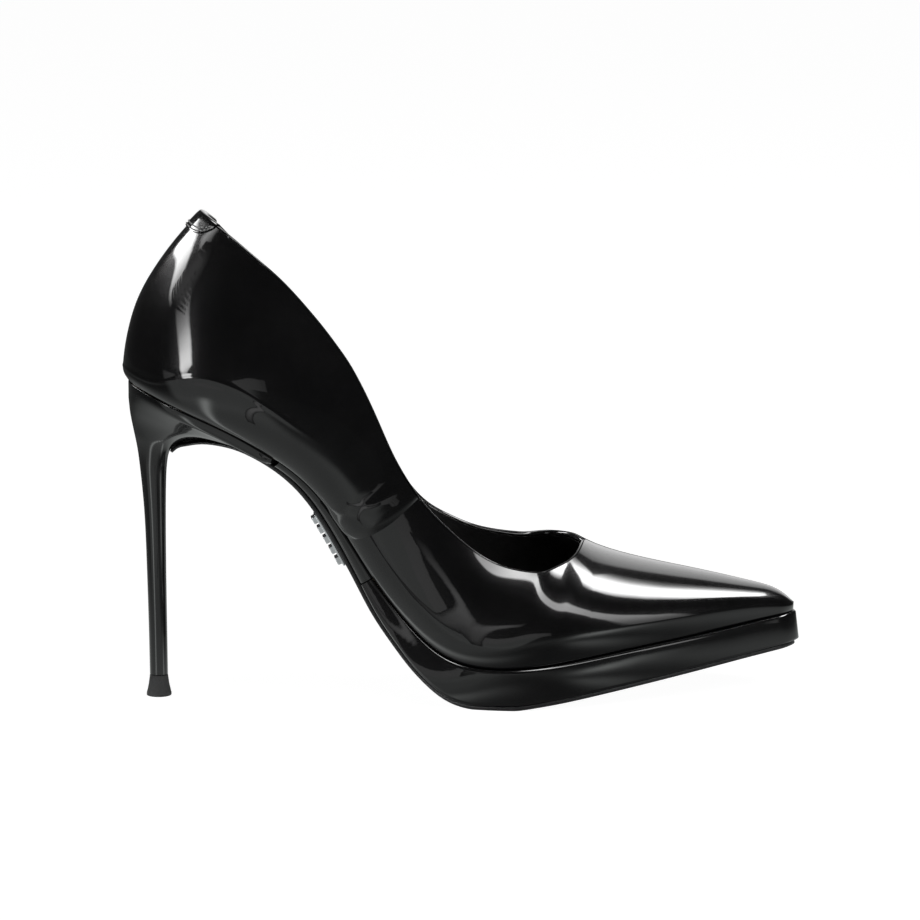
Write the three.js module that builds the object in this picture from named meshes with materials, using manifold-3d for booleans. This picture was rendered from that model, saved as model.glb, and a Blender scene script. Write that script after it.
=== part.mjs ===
import * as THREE from 'three';
import { mergeVertices } from 'three/addons/utils/BufferGeometryUtils.js';
import Module from 'manifold-3d';

// Platform stiletto pump for the right foot, EU 38.
// Millimetres, +Z up, toe toward +X, outer side of the foot toward -Y, floor at z = 0.
// The upper hangs on one smooth shoe-last surface. A point on it has a side (-1 outer, 1 inner),
// a place X along the feather line, where the upper meets the sole, and a height v,
// 0 on the feather line and 1 on the crest over the foot.

const wasm = await Module();
wasm.setup();

// ---------- driving dimensions ----------
const BACK_X = -113.8;
const TOE_X = 114.8;
const BACK_ROUND = 31.0;
const TOE_ROUND = 6.0;
const BACK_POWER = 2.15;
const TOE_POWER = 2.2;
const WIDEST_V = 0.3;
const THROAT_X = 37.4;
// how far the outer side stands away from the foot just below its topline
const STAND_OFF = 3.2;
const JOIN_GAP = 0.3;

const LEATHER = 1.1;
const LINING = 0.8;
const STIFFENER = 0.7;
const BOARD_LOW = 1.6;
const BOARD_HIGH = 3.2;
const SOCK = 0.8;
const OUTSOLE = 1.5;
const COVER = 1.0;

const PLATFORM_BACK_X = -32.5;
const PLATFORM_TOE_X = 115.5;
const WAIST_BACK_X = -63.5;
const TONGUE_X = -99.4;

const SHAFT_X = -104.7;
const TIP_HEIGHT = 7.2;
const TIP_BASE_RADIUS = 4.25;
const TIP_TOP_RADIUS = 3.15;

// ---------- small helpers ----------
function spline(points) {
  const t = points.map((p) => p[0]);
  const y = points.map((p) => p[1]);
  const n = t.length;
  const h = [];
  for (let i = 0; i < n - 1; i += 1) h.push(t[i + 1] - t[i]);
  const c = new Array(n).fill(0);
  const d = new Array(n).fill(0);
  for (let i = 1; i < n - 1; i += 1) {
    const r = 6 * ((y[i + 1] - y[i]) / h[i] - (y[i] - y[i - 1]) / h[i - 1]);
    const m = 2 * (h[i - 1] + h[i]) - h[i - 1] * c[i - 1];
    c[i] = h[i] / m;
    d[i] = (r - h[i - 1] * d[i - 1]) / m;
  }
  const k = new Array(n).fill(0);
  for (let i = n - 2; i > 0; i -= 1) k[i] = d[i] - c[i] * k[i + 1];
  const first = (y[1] - y[0]) / h[0] - (h[0] * k[1]) / 6;
  const last = (y[n - 1] - y[n - 2]) / h[n - 2] + (h[n - 2] * k[n - 2]) / 6;
  return (x) => {
    if (x <= t[0]) return y[0] + first * (x - t[0]);
    if (x >= t[n - 1]) return y[n - 1] + last * (x - t[n - 1]);
    let i = 0;
    while (x > t[i + 1]) i += 1;
    const a = (t[i + 1] - x) / h[i];
    const b = 1 - a;
    const bend = ((a ** 3 - a) * k[i] + (b ** 3 - b) * k[i + 1]) * h[i] * h[i];
    return a * y[i] + b * y[i + 1] + bend / 6;
  };
}

function clamp(x, low, high) {
  return Math.min(Math.max(x, low), high);
}

function smooth(a, b, x) {
  const t = clamp((x - a) / (b - a), 0, 1);
  return t * t * (3 - 2 * t);
}

function mix(a, b, t) {
  return a + (b - a) * t;
}

function roundEnd(t, power) {
  const s = clamp(t, 0, 1);
  return (1 - (1 - s) ** power) ** (1 / power);
}

function vec(x, y, z) {
  return new THREE.Vector3(x, y, z);
}

// even steps from a to b, then steps that close up toward c
function stations(a, b, evenSteps, c, endSteps) {
  const out = [];
  for (let i = 0; i < evenSteps; i += 1) out.push(mix(a, b, i / evenSteps));
  for (let i = 0; i <= endSteps; i += 1) out.push(mix(b, c, Math.sin((Math.PI / 2) * (i / endSteps))));
  return out;
}

// ---------- the shoe last ----------
const featherZ = spline([
  [BACK_X, 109.3], [-99, 102.5], [-83, 95.2], [-66.5, 85.4], [-53, 74.0], [-42.5, 59.6],
  [-32.5, 43.2], [-22, 29.3], [-11, 18.8], [0, 14.6], [11, 14.1], [24, 15.1], [45, 17.9],
  [76, 21.5], [TOE_X, 26.2],
]);
const crestX = spline([
  [BACK_X, -88.3], [-99, -75], [-83, -60], [-66.5, -44], [-53, -30], [-42.5, -19], [-30, -7],
  [-15, 6], [0, 18], [20, 31], [41, 45.5], [62, 64], [90, 91], [TOE_X, 114.9],
]);
const crestZ = spline([
  [-88.3, 166.2], [-75, 156.5], [-60, 144.2], [-44, 128], [-30, 112.5], [-18, 100], [-5, 87.5],
  [8, 76], [20, 66.3], [31, 58.5], [42, 51.2], [56.7, 45.5], [81.7, 40.0], [102.7, 35.3],
  [111, 32.0], [114.9, 28.6],
]);
const axisY = spline([[BACK_X, 0], [-80, 0], [-40, 2], [0, 5], [40, 5], [80, 3], [TOE_X, 1]]);
const outerHalf = spline([
  [BACK_X, 23], [-95, 24], [-80, 24.5], [-60, 22.5], [-42, 22], [-22, 27], [0, 37], [18, 41.5],
  [40, 38], [60, 30.5], [80, 21.5], [100, 11.5], [TOE_X, 4.5],
]);
const innerHalf = spline([
  [BACK_X, 23], [-95, 24], [-80, 24], [-60, 20], [-42, 16.5], [-22, 18], [0, 25], [18, 31.5],
  [40, 32.5], [60, 27], [80, 19], [100, 10.3], [TOE_X, 4],
]);
const flare = spline([
  [BACK_X, 5], [-80, 5.5], [-40, 5], [-10, 3.5], [20, 3], [60, 2.5], [100, 1.5], [TOE_X, 1],
]);
const widestHeight = spline([
  [BACK_X, 13], [-80, 13], [-40, 13], [-10, 10], [20, 8.5], [60, 7], [100, 4.5], [TOE_X, 1.6],
]);
const openingHalf = spline([
  [BACK_X, 24], [-95, 23], [-80, 22.5], [-60, 22.5], [-40, 22], [-20, 20], [0, 14], [20, 6],
  [41, 0], [TOE_X, 0],
]);
const heelBulge = spline([
  [0, 0], [0.02, 2.0], [0.06, 3.7], [0.14, 5.3], [0.25, 6.9], [0.42, 8.1], [0.6, 7.2],
  [0.8, 4.5], [0.9, 2.6], [1, 0.4],
]);

function endRound(X, inset) {
  const back = roundEnd((X - BACK_X - inset) / BACK_ROUND, BACK_POWER);
  return back * roundEnd((TOE_X - inset - X) / TOE_ROUND, TOE_POWER);
}

function crestOver(X) {
  const x = crestX(X);
  return [x, crestZ(x)];
}

// point on the last: across from the middle line and up along the leaning section
function lastPoint(side, X, v) {
  const half = side < 0 ? outerHalf(X) : innerHalf(X);
  const out = flare(X);
  const low = widestHeight(X);
  const footX = X;
  const footZ = featherZ(X);
  const [topX, topZ] = crestOver(X);
  const height = Math.hypot(topX - footX, topZ - footZ);
  let w;
  let h;
  if (v < WIDEST_V) {
    const a = (Math.PI / 2) * (Math.max(v, 0) / WIDEST_V);
    w = half + out * Math.sin(a);
    h = low * (1 - Math.cos(a));
  } else {
    const t = (v - WIDEST_V) / (1 - WIDEST_V);
    const closed = smooth(-20, 38, X);
    const rise = height - low;
    const mouth = openingHalf(X);
    const wide = half + out;
    const b0 = (1 - t) ** 3;
    const b1 = 3 * t * (1 - t) ** 2;
    const b2 = 3 * t * t * (1 - t);
    const b3 = t ** 3;
    const shoulder = mix(mouth + 2.0, 0.6 * wide, closed);
    w = b0 * wide + b1 * wide + b2 * shoulder + b3 * mouth * (1 - closed);
    h = b0 * low + b1 * (low + mix(0.35, 0.56, closed) * rise);
    h += b2 * (low + mix(0.7, 1.0, closed) * rise) + b3 * height;
  }
  const forefoot = smooth(-40, -5, X) * (1 - smooth(13, 27, X));
  if (side < 0) w += STAND_OFF * forefoot * smooth(0.3, 0.66, v);
  const upX = (topX - footX) / height;
  const upZ = (topZ - footZ) / height;
  const fade = Math.max(0, 1 - (X - BACK_X) / BACK_ROUND) ** 2;
  const bulge = heelBulge(h / height) * fade;
  const x = footX + upX * h - upZ * bulge;
  const y = axisY(X) + side * w * endRound(X, 0);
  return vec(x, y, footZ + upZ * h + upX * bulge);
}

// step along the last, toward the toe on the inner side and toward the back on the outer side
function alongLast(side, X, v) {
  const step = 0.05;
  if (X < BACK_X + 25) {
    const q = side * Math.sqrt(Math.max(X - BACK_X, 0));
    const ahead = lastPoint(q + step < 0 ? -1 : 1, BACK_X + (q + step) ** 2, v);
    return ahead.sub(lastPoint(q - step < 0 ? -1 : 1, BACK_X + (q - step) ** 2, v));
  }
  if (X > TOE_X - 12) {
    const q = side * Math.sqrt(Math.max(TOE_X - X, 0));
    const ahead = lastPoint(q - step < 0 ? -1 : 1, TOE_X - (q - step) ** 2, v);
    return ahead.sub(lastPoint(q + step < 0 ? -1 : 1, TOE_X - (q + step) ** 2, v));
  }
  const ahead = lastPoint(side, X + 0.2, v);
  return ahead.sub(lastPoint(side, X - 0.2, v)).multiplyScalar(side);
}

function upLast(side, X, v) {
  return lastPoint(side, X, v + 0.01).sub(lastPoint(side, X, v - 0.01)).normalize();
}

function lastNormal(side, X, v) {
  if (v > 0.995 && X >= THROAT_X - 0.01) {
    return sideNormal(-1, X, v).add(sideNormal(1, X, v)).normalize();
  }
  return sideNormal(side, X, v);
}

function sideNormal(side, X, v) {
  const level = Math.max(v, WIDEST_V);
  const normal = upLast(side, X, level).cross(alongLast(side, X, level)).normalize();
  if (v >= WIDEST_V) return normal;
  const a = (Math.PI / 2) * (v / WIDEST_V);
  const tilt = Math.atan2(flare(X) * Math.cos(a), widestHeight(X) * Math.sin(a));
  const [topX, topZ] = crestOver(X);
  const up = vec(topX - X, 0, topZ - featherZ(X)).normalize();
  return normal.multiplyScalar(Math.cos(tilt)).addScaledVector(up, -Math.sin(tilt)).normalize();
}

function inLast(side, X, v, depth) {
  return lastPoint(side, X, v).addScaledVector(lastNormal(side, X, v), -depth);
}

// ---------- edges drawn on the last ----------
const outerTopline = spline([
  [BACK_X, 0.985], [-103, 0.982], [-98, 0.977], [-93.6, 0.972], [-88.6, 0.968], [-83, 0.959],
  [-78, 0.946], [-73.3, 0.932], [-68.8, 0.916], [-64.9, 0.897], [-60.8, 0.873], [-57.5, 0.84],
  [-54.2, 0.801], [-50.1, 0.748], [-46.1, 0.697], [-42.1, 0.656], [-37.6, 0.633], [-33.9, 0.626],
  [-29.6, 0.624], [-23, 0.634], [-15, 0.645], [-5, 0.637], [11.8, 0.623], [17.3, 0.632],
  [22, 0.662], [26, 0.695], [29.5, 0.745], [32.5, 0.812], [35, 0.9],
]);
const innerTopline = spline([
  [BACK_X, 0.985], [-106, 0.963], [-100, 0.938], [-88, 0.905], [-77, 0.862], [-68, 0.825],
  [-60, 0.775], [-53, 0.713], [-46, 0.652], [-40, 0.612], [-31.3, 0.591], [-24, 0.604],
  [-16.4, 0.646], [-8, 0.675], [5.5, 0.696], [16, 0.712], [22, 0.748], [27, 0.788],
  [31, 0.838], [34, 0.9], [35.5, 0.945],
]);
const seamLean = spline([[0, -42.2], [0.2, -39.6], [0.5, -35.9], [0.8, -33.1], [1, -31.3]]);

function topline(side, X) {
  const edge = side < 0 ? outerTopline(X) : innerTopline(X);
  if (X < 30) return edge;
  const rise = roundEnd((X - 30) / (THROAT_X - 30), 1);
  return mix(edge, 1, 1 - Math.sqrt(1 - rise ** 3));
}

// ---------- closed bodies from two matching skins ----------
function finish(points, faces) {
  const kept = [];
  for (const f of faces) {
    if (f[0] !== f[1] && f[1] !== f[2] && f[2] !== f[0]) kept.push(f);
  }
  return { points, faces: kept };
}

function quadFaces(a, b, c, d, points) {
  const one = points[a].distanceTo(points[c]);
  const two = points[b].distanceTo(points[d]);
  return one <= two ? [[a, b, c], [a, c, d]] : [[a, b, d], [b, c, d]];
}

// outer and inner hold matching points; quads index them, outer face winding outward
function skinBody(outer, inner, quads) {
  const key = (p) => [p.x, p.y, p.z].map((n) => Math.round(n * 5000)).join();
  const seen = new Map();
  const same = outer.map((p, i) => {
    const k = key(p);
    if (!seen.has(k)) seen.set(k, i);
    return seen.get(k);
  });
  const n = outer.length;
  const points = [...outer, ...inner];
  const skin = [];
  for (const q of quads) {
    const [a, b, c, d] = q.map((i) => same[i]);
    for (const f of quadFaces(a, b, c, d, points)) {
      if (f[0] !== f[1] && f[1] !== f[2] && f[2] !== f[0]) skin.push(f);
    }
  }
  const used = new Map();
  for (const f of skin) {
    for (let i = 0; i < 3; i += 1) {
      const back = `${f[(i + 1) % 3]},${f[i]}`;
      if (used.has(back)) used.delete(back);
      else used.set(`${f[i]},${f[(i + 1) % 3]}`, [f[i], f[(i + 1) % 3]]);
    }
  }
  const faces = [...skin];
  for (const f of skin) faces.push([f[0] + n, f[2] + n, f[1] + n]);
  for (const [a, b] of used.values()) {
    faces.push([b, a, a + n]);
    faces.push([b, a + n, b + n]);
  }
  return finish(points, faces);
}

// plain grid of columns and rows, each cell (column, row) placed by both functions
function gridBody(columns, rows, outerAt, innerAt) {
  const outer = [];
  const inner = [];
  for (let i = 0; i <= columns; i += 1) {
    for (let j = 0; j <= rows; j += 1) {
      outer.push(outerAt(i / columns, j / rows));
      inner.push(innerAt(i / columns, j / rows));
    }
  }
  const quads = [];
  const at = (i, j) => i * (rows + 1) + j;
  for (let i = 0; i < columns; i += 1) {
    for (let j = 0; j < rows; j += 1) quads.push([at(i, j), at(i + 1, j), at(i + 1, j + 1), at(i, j + 1)]);
  }
  return skinBody(outer, inner, quads);
}

// rings of equal count joined in turn; a closed loft joins the last ring to the first
function loftBody(rings, closed = false) {
  const count = rings[0].length;
  const points = rings.flat();
  const faces = [];
  const last = closed ? rings.length : rings.length - 1;
  for (let i = 0; i < last; i += 1) {
    const a = i * count;
    const b = ((i + 1) % rings.length) * count;
    for (let j = 0; j < count; j += 1) {
      const k = (j + 1) % count;
      faces.push(...quadFaces(a + j, a + k, b + k, b + j, points));
    }
  }
  if (!closed) {
    for (const [ring, flip] of [[rings[0], true], [rings[rings.length - 1], false]]) {
      const base = flip ? 0 : (rings.length - 1) * count;
      for (const f of capFaces(ring)) {
        const g = f.map((i) => base + i);
        faces.push(flip ? [g[0], g[2], g[1]] : g);
      }
    }
  }
  return finish(points, faces);
}

// flat fill of one ring, wound like the ring
function capFaces(ring) {
  const normal = vec(0, 0, 0);
  for (let i = 0; i < ring.length; i += 1) {
    const a = ring[i];
    const b = ring[(i + 1) % ring.length];
    normal.x += (a.y - b.y) * (a.z + b.z);
    normal.y += (a.z - b.z) * (a.x + b.x);
    normal.z += (a.x - b.x) * (a.y + b.y);
  }
  normal.normalize();
  const side = Math.abs(normal.z) < 0.9 ? vec(0, 0, 1) : vec(1, 0, 0);
  const across = side.clone().cross(normal).normalize();
  const up = normal.clone().cross(across);
  const flat = ring.map((p) => new THREE.Vector2(p.dot(across), p.dot(up)));
  return THREE.ShapeUtils.triangulateShape(flat, []);
}

function flipped(body) {
  return { points: body.points, faces: body.faces.map((f) => [f[0], f[2], f[1]]) };
}

function volume(body) {
  let sum = 0;
  for (const [a, b, c] of body.faces) {
    sum += body.points[a].dot(body.points[b].clone().cross(body.points[c]));
  }
  return sum / 6;
}

function solid(body) {
  const right = volume(body) < 0 ? flipped(body) : body;
  const places = new Float32Array(right.points.length * 3);
  right.points.forEach((p, i) => places.set([p.x, p.y, p.z], i * 3));
  const mesh = new wasm.Mesh({
    numProp: 3,
    vertProperties: places,
    triVerts: new Uint32Array(right.faces.flat()),
  });
  mesh.merge();
  return new wasm.Manifold(mesh);
}

function geometryOf(manifold) {
  const mesh = manifold.getMesh();
  const geometry = new THREE.BufferGeometry();
  const places = [];
  for (let i = 0; i < mesh.vertProperties.length; i += mesh.numProp) {
    places.push(...mesh.vertProperties.slice(i, i + 3));
  }
  geometry.setAttribute('position', new THREE.Float32BufferAttribute(places, 3));
  geometry.setIndex([...mesh.triVerts]);
  const flat = geometry.toNonIndexed();
  flat.computeVertexNormals();
  return flat;
}

// a three.js shape as a closed solid
function solidOf(geometry) {
  const bare = new THREE.BufferGeometry();
  bare.setAttribute('position', geometry.getAttribute('position'));
  if (geometry.index) bare.setIndex(geometry.index);
  const merged = mergeVertices(bare, 1e-4);
  const mesh = new wasm.Mesh({
    numProp: 3,
    vertProperties: merged.attributes.position.array,
    triVerts: new Uint32Array(merged.index.array),
  });
  return new wasm.Manifold(mesh);
}

// round rod from one point to another
function rod(from, to, radius, endRadius = radius, facets = 12) {
  const length = from.distanceTo(to);
  const geometry = new THREE.CylinderGeometry(endRadius, radius, length, facets);
  geometry.translate(0, length / 2, 0);
  const turn = new THREE.Quaternion();
  turn.setFromUnitVectors(vec(0, 1, 0), to.clone().sub(from).normalize());
  geometry.applyQuaternion(turn);
  geometry.translate(from.x, from.y, from.z);
  return solidOf(geometry);
}

// turned shape about a vertical line, from [radius, height] points
function turned(profile, x, facets) {
  const geometry = new THREE.LatheGeometry(profile.map(([r, z]) => new THREE.Vector2(r, z)), facets);
  geometry.rotateX(Math.PI / 2);
  geometry.translate(x, 0, 0);
  return solidOf(geometry);
}

// ---------- the upper ----------
function counterZone(X, v, top) {
  return (1 - smooth(-66, -58, X)) * (1 - smooth(0.74, 0.86, v / top));
}

function puffZone(X) {
  return smooth(74, 82, X);
}

function liningDepth(side, X, v) {
  const zone = Math.max(counterZone(X, v, topline(side, X)), puffZone(X));
  return LEATHER + JOIN_GAP + zone * (STIFFENER + JOIN_GAP);
}

const VAMP_WING_STEPS = 11;
const VAMP_FORE_STEPS = 12;
const QUARTER_STEPS = 12;
const QUARTER_ROWS = 8;

// fraction of the quarter from the back middle to the side seam, and of the height to the topline
function quarterSpot(side, along, up, trim) {
  const seam = seamLean(up) - trim;
  const far = Math.sqrt(seam - BACK_X);
  const X = BACK_X + (far * (0.003 + 0.997 * along)) ** 2;
  return [side, X, up * topline(side, X)];
}

function quarterAt(side, along, up, depth) {
  const [s, X, v] = quarterSpot(side, along, up, JOIN_GAP * 0.7);
  return inLast(s, X, v, depth(s, X, v, along));
}

function quarterSheet(side, outerDepth, innerDepth) {
  const order = (i) => (side < 0 ? i : 1 - i);
  return gridBody(
    QUARTER_STEPS,
    QUARTER_ROWS,
    (i, j) => quarterAt(side, order(i), j, outerDepth),
    (i, j) => quarterAt(side, order(i), j, innerDepth),
  );
}

// vamp columns run from the seams to the toe; rows run outer feather, over the top, inner feather
function vampSheet(foreUsed, outerDepth, innerDepth) {
  const wingSteps = VAMP_WING_STEPS;
  const foreSteps = VAMP_FORE_STEPS;
  const half = 7;
  const outer = [];
  const inner = [];
  const quads = [];
  const rows = 2 * half + 1;
  const spots = [];
  for (let i = 0; i <= wingSteps + foreUsed; i += 1) {
    for (let j = 0; j < rows; j += 1) {
      const side = j <= half ? -1 : 1;
      const up = side < 0 ? j / half : (rows - 1 - j) / half;
      if (i < wingSteps) {
        const c = 1 - (1 - i / wingSteps) ** 2;
        const X = mix(seamLean(up) + JOIN_GAP / 2, THROAT_X, c);
        spots.push([side, X, up * topline(side, X)]);
      } else {
        const c = (i - wingSteps) / foreSteps;
        const X = mix(THROAT_X, TOE_X, Math.sin((Math.PI / 2) * c) * 0.35 + c * 0.65);
        spots.push([side, X, up]);
      }
    }
    // a second middle point closes the inner wing beside the opening
    const [, X] = spots[spots.length - 1 - half];
    spots.push(i < wingSteps ? [1, X, topline(1, X)] : [-1, X, 1]);
  }
  for (const [side, X, v] of spots) {
    outer.push(inLast(side, X, v, outerDepth(side, X, v)));
    inner.push(inLast(side, X, v, innerDepth(side, X, v)));
  }
  const at = (i, j, secondMiddle) => i * (rows + 1) + (j === half && secondMiddle ? rows : j);
  for (let i = 0; i < wingSteps + foreUsed; i += 1) {
    for (let j = 0; j < rows - 1; j += 1) {
      const m = j >= half;
      quads.push([at(i, j, m), at(i, j + 1, m), at(i + 1, j + 1, m), at(i + 1, j, m)]);
    }
  }
  return skinBody(outer, inner, quads);
}

const leatherOuter = () => 0;
const leatherInner = () => LEATHER;
const foldedEdge = (side, X, v, along) => -0.5 * smooth(0.93, 0.97, along);
const liningOuter = (side, X, v) => liningDepth(side, X, v);
const liningInner = (side, X, v) => liningDepth(side, X, v) + LINING;

const parts = [];

function add(name, manifold, color, options = {}) {
  const material = new THREE.MeshStandardMaterial({ color, roughness: 0.35, ...options });
  const mesh = new THREE.Mesh(geometryOf(manifold), material);
  mesh.name = name;
  parts.push(mesh);
}

const PATENT = 0x141417;
const DARK = 0x1c1b1d;
const TAN = 0x6f5a45;
const STEEL = 0xaeb2b8;

add('quarter_outer_side', solid(quarterSheet(-1, foldedEdge, leatherInner)), PATENT);
add('quarter_inner_side', solid(quarterSheet(1, foldedEdge, leatherInner)), PATENT);
add('vamp', solid(vampSheet(VAMP_FORE_STEPS, leatherOuter, leatherInner)), PATENT);
add('quarter_lining_outer_side', solid(quarterSheet(-1, liningOuter, liningInner)), DARK);
add('quarter_lining_inner_side', solid(quarterSheet(1, liningOuter, liningInner)), DARK);
add('vamp_lining', solid(vampSheet(VAMP_FORE_STEPS - 3, liningOuter, liningInner)), DARK);

// stiff horseshoe between quarter and lining around the back of the heel
const stiffOuter = LEATHER + JOIN_GAP;
const stiffInner = stiffOuter + STIFFENER;
const COUNTER_STEPS = 8;
const COUNTER_ROWS = 5;
function counterAt(column, row, depth) {
  const step = column - COUNTER_STEPS - 0.5;
  const side = step < 0 ? -1 : 1;
  const along = (Math.abs(step) - 0.5) / QUARTER_STEPS;
  const [s, X, v] = quarterSpot(side, along, row / QUARTER_ROWS, JOIN_GAP * 0.7);
  return inLast(s, X, v, depth);
}
const counterColumns = 2 * COUNTER_STEPS + 1;
const counter = gridBody(
  counterColumns,
  COUNTER_ROWS,
  (i, j) => counterAt(Math.round(i * counterColumns), Math.round(j * COUNTER_ROWS), stiffOuter),
  (i, j) => counterAt(Math.round(i * counterColumns), Math.round(j * COUNTER_ROWS), stiffInner),
);
add('heel_counter', solid(counter), TAN);

// stiff cap between vamp and lining over the toes
function puffAt(along, over, depth) {
  const X = mix(84, 103.5, along);
  const side = over < 0.5 ? -1 : 1;
  const v = 1 - Math.abs(over - 0.5) * 1.9;
  return inLast(side, X, v, depth);
}
const puff = gridBody(6, 14, (i, j) => puffAt(i, j, stiffOuter), (i, j) => puffAt(i, j, stiffInner));
add('toe_puff', solid(puff), TAN);

// ---------- rolled binding along the toplines ----------
const EDGE_DEPTH = 1.1;
const BINDING_HALF_WIDE = 1.0;
const BINDING_HALF_TALL = 0.45;

// edge is a list of [side, X, v]; the binding sits just off it, away from the leather
function bindingBody(edge, wayOut) {
  const middle = edge.map(([side, X, v]) => inLast(side, X, v, EDGE_DEPTH));
  const rings = edge.map(([side, X, v], i) => {
    const before = middle[Math.max(i - 1, 0)];
    const after = middle[Math.min(i + 1, middle.length - 1)];
    const run = after.clone().sub(before).normalize();
    const normal = lastNormal(side, X, v);
    const out = run.clone().cross(normal).normalize().multiplyScalar(wayOut);
    const centre = middle[i].clone().addScaledVector(out, JOIN_GAP + BINDING_HALF_TALL);
    const ring = [];
    for (let k = 0; k < 8; k += 1) {
      const a = (Math.PI / 4) * (k + 0.5);
      const p = centre.clone().addScaledVector(normal, BINDING_HALF_WIDE * Math.cos(a));
      ring.push(p.addScaledVector(out, BINDING_HALF_TALL * Math.sin(a)));
    }
    return ring;
  });
  return loftBody(rings);
}

const vampEdge = [];
for (let i = -VAMP_WING_STEPS + 1; i < VAMP_WING_STEPS; i += 1) {
  const side = i < 0 ? -1 : 1;
  const c = 1 - (i / VAMP_WING_STEPS) ** 2;
  const X = mix(seamLean(1) + JOIN_GAP / 2, THROAT_X, c);
  vampEdge.push([side, X, topline(side, X)]);
}
add('vamp_topline_binding', solid(bindingBody(vampEdge, -1)), PATENT);

const quarterEdge = [];
for (let i = -QUARTER_STEPS; i <= QUARTER_STEPS; i += 1) {
  const side = i < 0 ? -1 : 1;
  if (i === 0) quarterEdge.push([-1, BACK_X, topline(-1, BACK_X)]);
  quarterEdge.push(quarterSpot(side, Math.abs(i) / QUARTER_STEPS, 1, JOIN_GAP * 0.7));
}
quarterEdge.splice(QUARTER_STEPS + 1, 1);
add('quarter_topline_binding', solid(bindingBody(quarterEdge, 1)), PATENT);

// ---------- sole line and underside ----------
const underZ = spline([
  [-99.9, 83.2], [-98, 85.6], [-95, 87.0], [-90.5, 87.9], [-84, 87.7], [-79, 86.7],
  [-72.6, 84.1], [-66.8, 80.7], [-59.7, 74.9], [-54.6, 69.0], [-50.5, 63.0], [-44, 51.8],
  [-38, 40.3], [-33.6, 31.7], [-26.4, 20.6], [-21.5, 14.0], [-16.4, 8.4], [-10.5, 3.5],
  [-4.5, 0.8], [2, -0.15], [8, -0.3], [14, -0.05], [20, 0.75], [28, 1.9], [41.4, 3.9],
  [58.5, 6.4], [75.9, 8.9], [93.8, 11.4], [112, 13.9], [115.5, 14.4],
]);

// point on the ground side of the sole, lifted square to it
function underPoint(x, lift) {
  const z = Math.max(underZ(x), 0);
  const slope = (Math.max(underZ(x + 0.1), 0) - Math.max(underZ(x - 0.1), 0)) / 0.2;
  const length = Math.hypot(1, slope);
  return [x - (slope / length) * lift, z + lift / length];
}

// point off the feather line, lifted square to it
function featherPoint(X, lift) {
  const slope = (featherZ(X + 0.1) - featherZ(X - 0.1)) / 0.2;
  const length = Math.hypot(1, slope);
  return [X - (slope / length) * lift, featherZ(X) + lift / length];
}

const soleDepth = spline([
  [-64, 4.6], [-55, 4.8], [-45, 5.2], [-36, 6.0], [-27, 7.4], [-16, 9.8], [-5, 12.6], [6, 13.6],
  [20, 13.6], [60, 12.6], [100, 12.0], [TOE_X, 11.7],
]);

// where on the underside the square line from the feather line lands
function underX(X) {
  const slope = (featherZ(X + 0.1) - featherZ(X - 0.1)) / 0.2;
  return X + (soleDepth(X) * slope) / Math.hypot(1, slope);
}

// ---------- thin plates that follow the feather line ----------
function plateHalf(side, X, inset) {
  const half = side < 0 ? outerHalf(X) : innerHalf(X);
  return (half - inset) * endRound(X, inset);
}

function platePoint(X, across, lift, halfAt) {
  const side = across < 0 ? -1 : 1;
  const y = axisY(X) + side * Math.abs(across) * halfAt(side, X);
  const [x, z] = featherPoint(X, lift);
  return vec(x, y, z);
}

// places shared by all plates, closer together where the foot line bends
const commonPlaces = [];
for (let X = -104; X < -64; X += 8) commonPlaces.push(X);
for (let X = -64; X < 12; X += 4) commonPlaces.push(X);
for (let X = 12; X < 110; X += 8) commonPlaces.push(X);
const PLATE_END = 9;

function platePlaces(from, to) {
  const ends = [0, 0.05, 0.19, 0.41, 0.69].map((f) => f * PLATE_END);
  const middle = commonPlaces.filter((X) => X > from + PLATE_END - 1 && X < to - PLATE_END + 1);
  return [...ends.map((d) => from + d), ...middle, ...ends.map((d) => to - d).reverse()];
}

function plate(from, to, rows, halfAt, topLift, lowLift) {
  const places = platePlaces(from, to);
  const columns = places.length - 1;
  const at = (i) => places[Math.round(i * columns)];
  return gridBody(
    columns,
    rows,
    (i, j) => platePoint(at(i), j * 2 - 1, topLift(at(i)), halfAt),
    (i, j) => platePoint(at(i), j * 2 - 1, lowLift(at(i)), halfAt),
  );
}

const BOARD_INSET = 1.0;
const boardHalf = (side, X) => plateHalf(side, X, BOARD_INSET + 1.4 * smooth(56, 74, X));
let board = solid(plate(
  BACK_X + BOARD_INSET, 106, 2, boardHalf, () => BOARD_HIGH, () => BOARD_LOW,
));

const SHANK_HALF = 6.0;
const shankHalf = (side, X) => SHANK_HALF * roundEnd((X + 106) / 6, 2) * roundEnd((-10 - X) / 6, 2);
let shank = solid(plate(-106, -10, 2, shankHalf, () => JOIN_GAP + 1.0, () => JOIN_GAP));

const fillerHalf = (side, X) => (plateHalf(side, X, 7.5)) * roundEnd((X + 6) / 8, 2) * roundEnd((96 - X) / 8, 2);
const filler = plate(-6, 96, 2, fillerHalf, () => JOIN_GAP + 1.0, () => -0.9);
add('forefoot_filler', solid(filler), 0x8a6a48);

const SOCK_LOW = BOARD_HIGH + JOIN_GAP;
const HEEL_PAD = 1.6;
const BALL_PAD = 1.3;
function sockLift(X) {
  const heel = (HEEL_PAD + JOIN_GAP) * (1 - smooth(-66, -58, X));
  const ball = (BALL_PAD + JOIN_GAP) * smooth(-22, -14, X) * (1 - smooth(55, 64, X));
  return SOCK_LOW + heel + ball;
}
const sockHalf = (side, X) => plateHalf(side, X, 2.6) * roundEnd((100 - X) / 7, 2);
const sock = plate(BACK_X + 2.6, 100, 2, sockHalf, (X) => sockLift(X) + SOCK, sockLift);
add('sock_lining', solid(sock), DARK);

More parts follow.
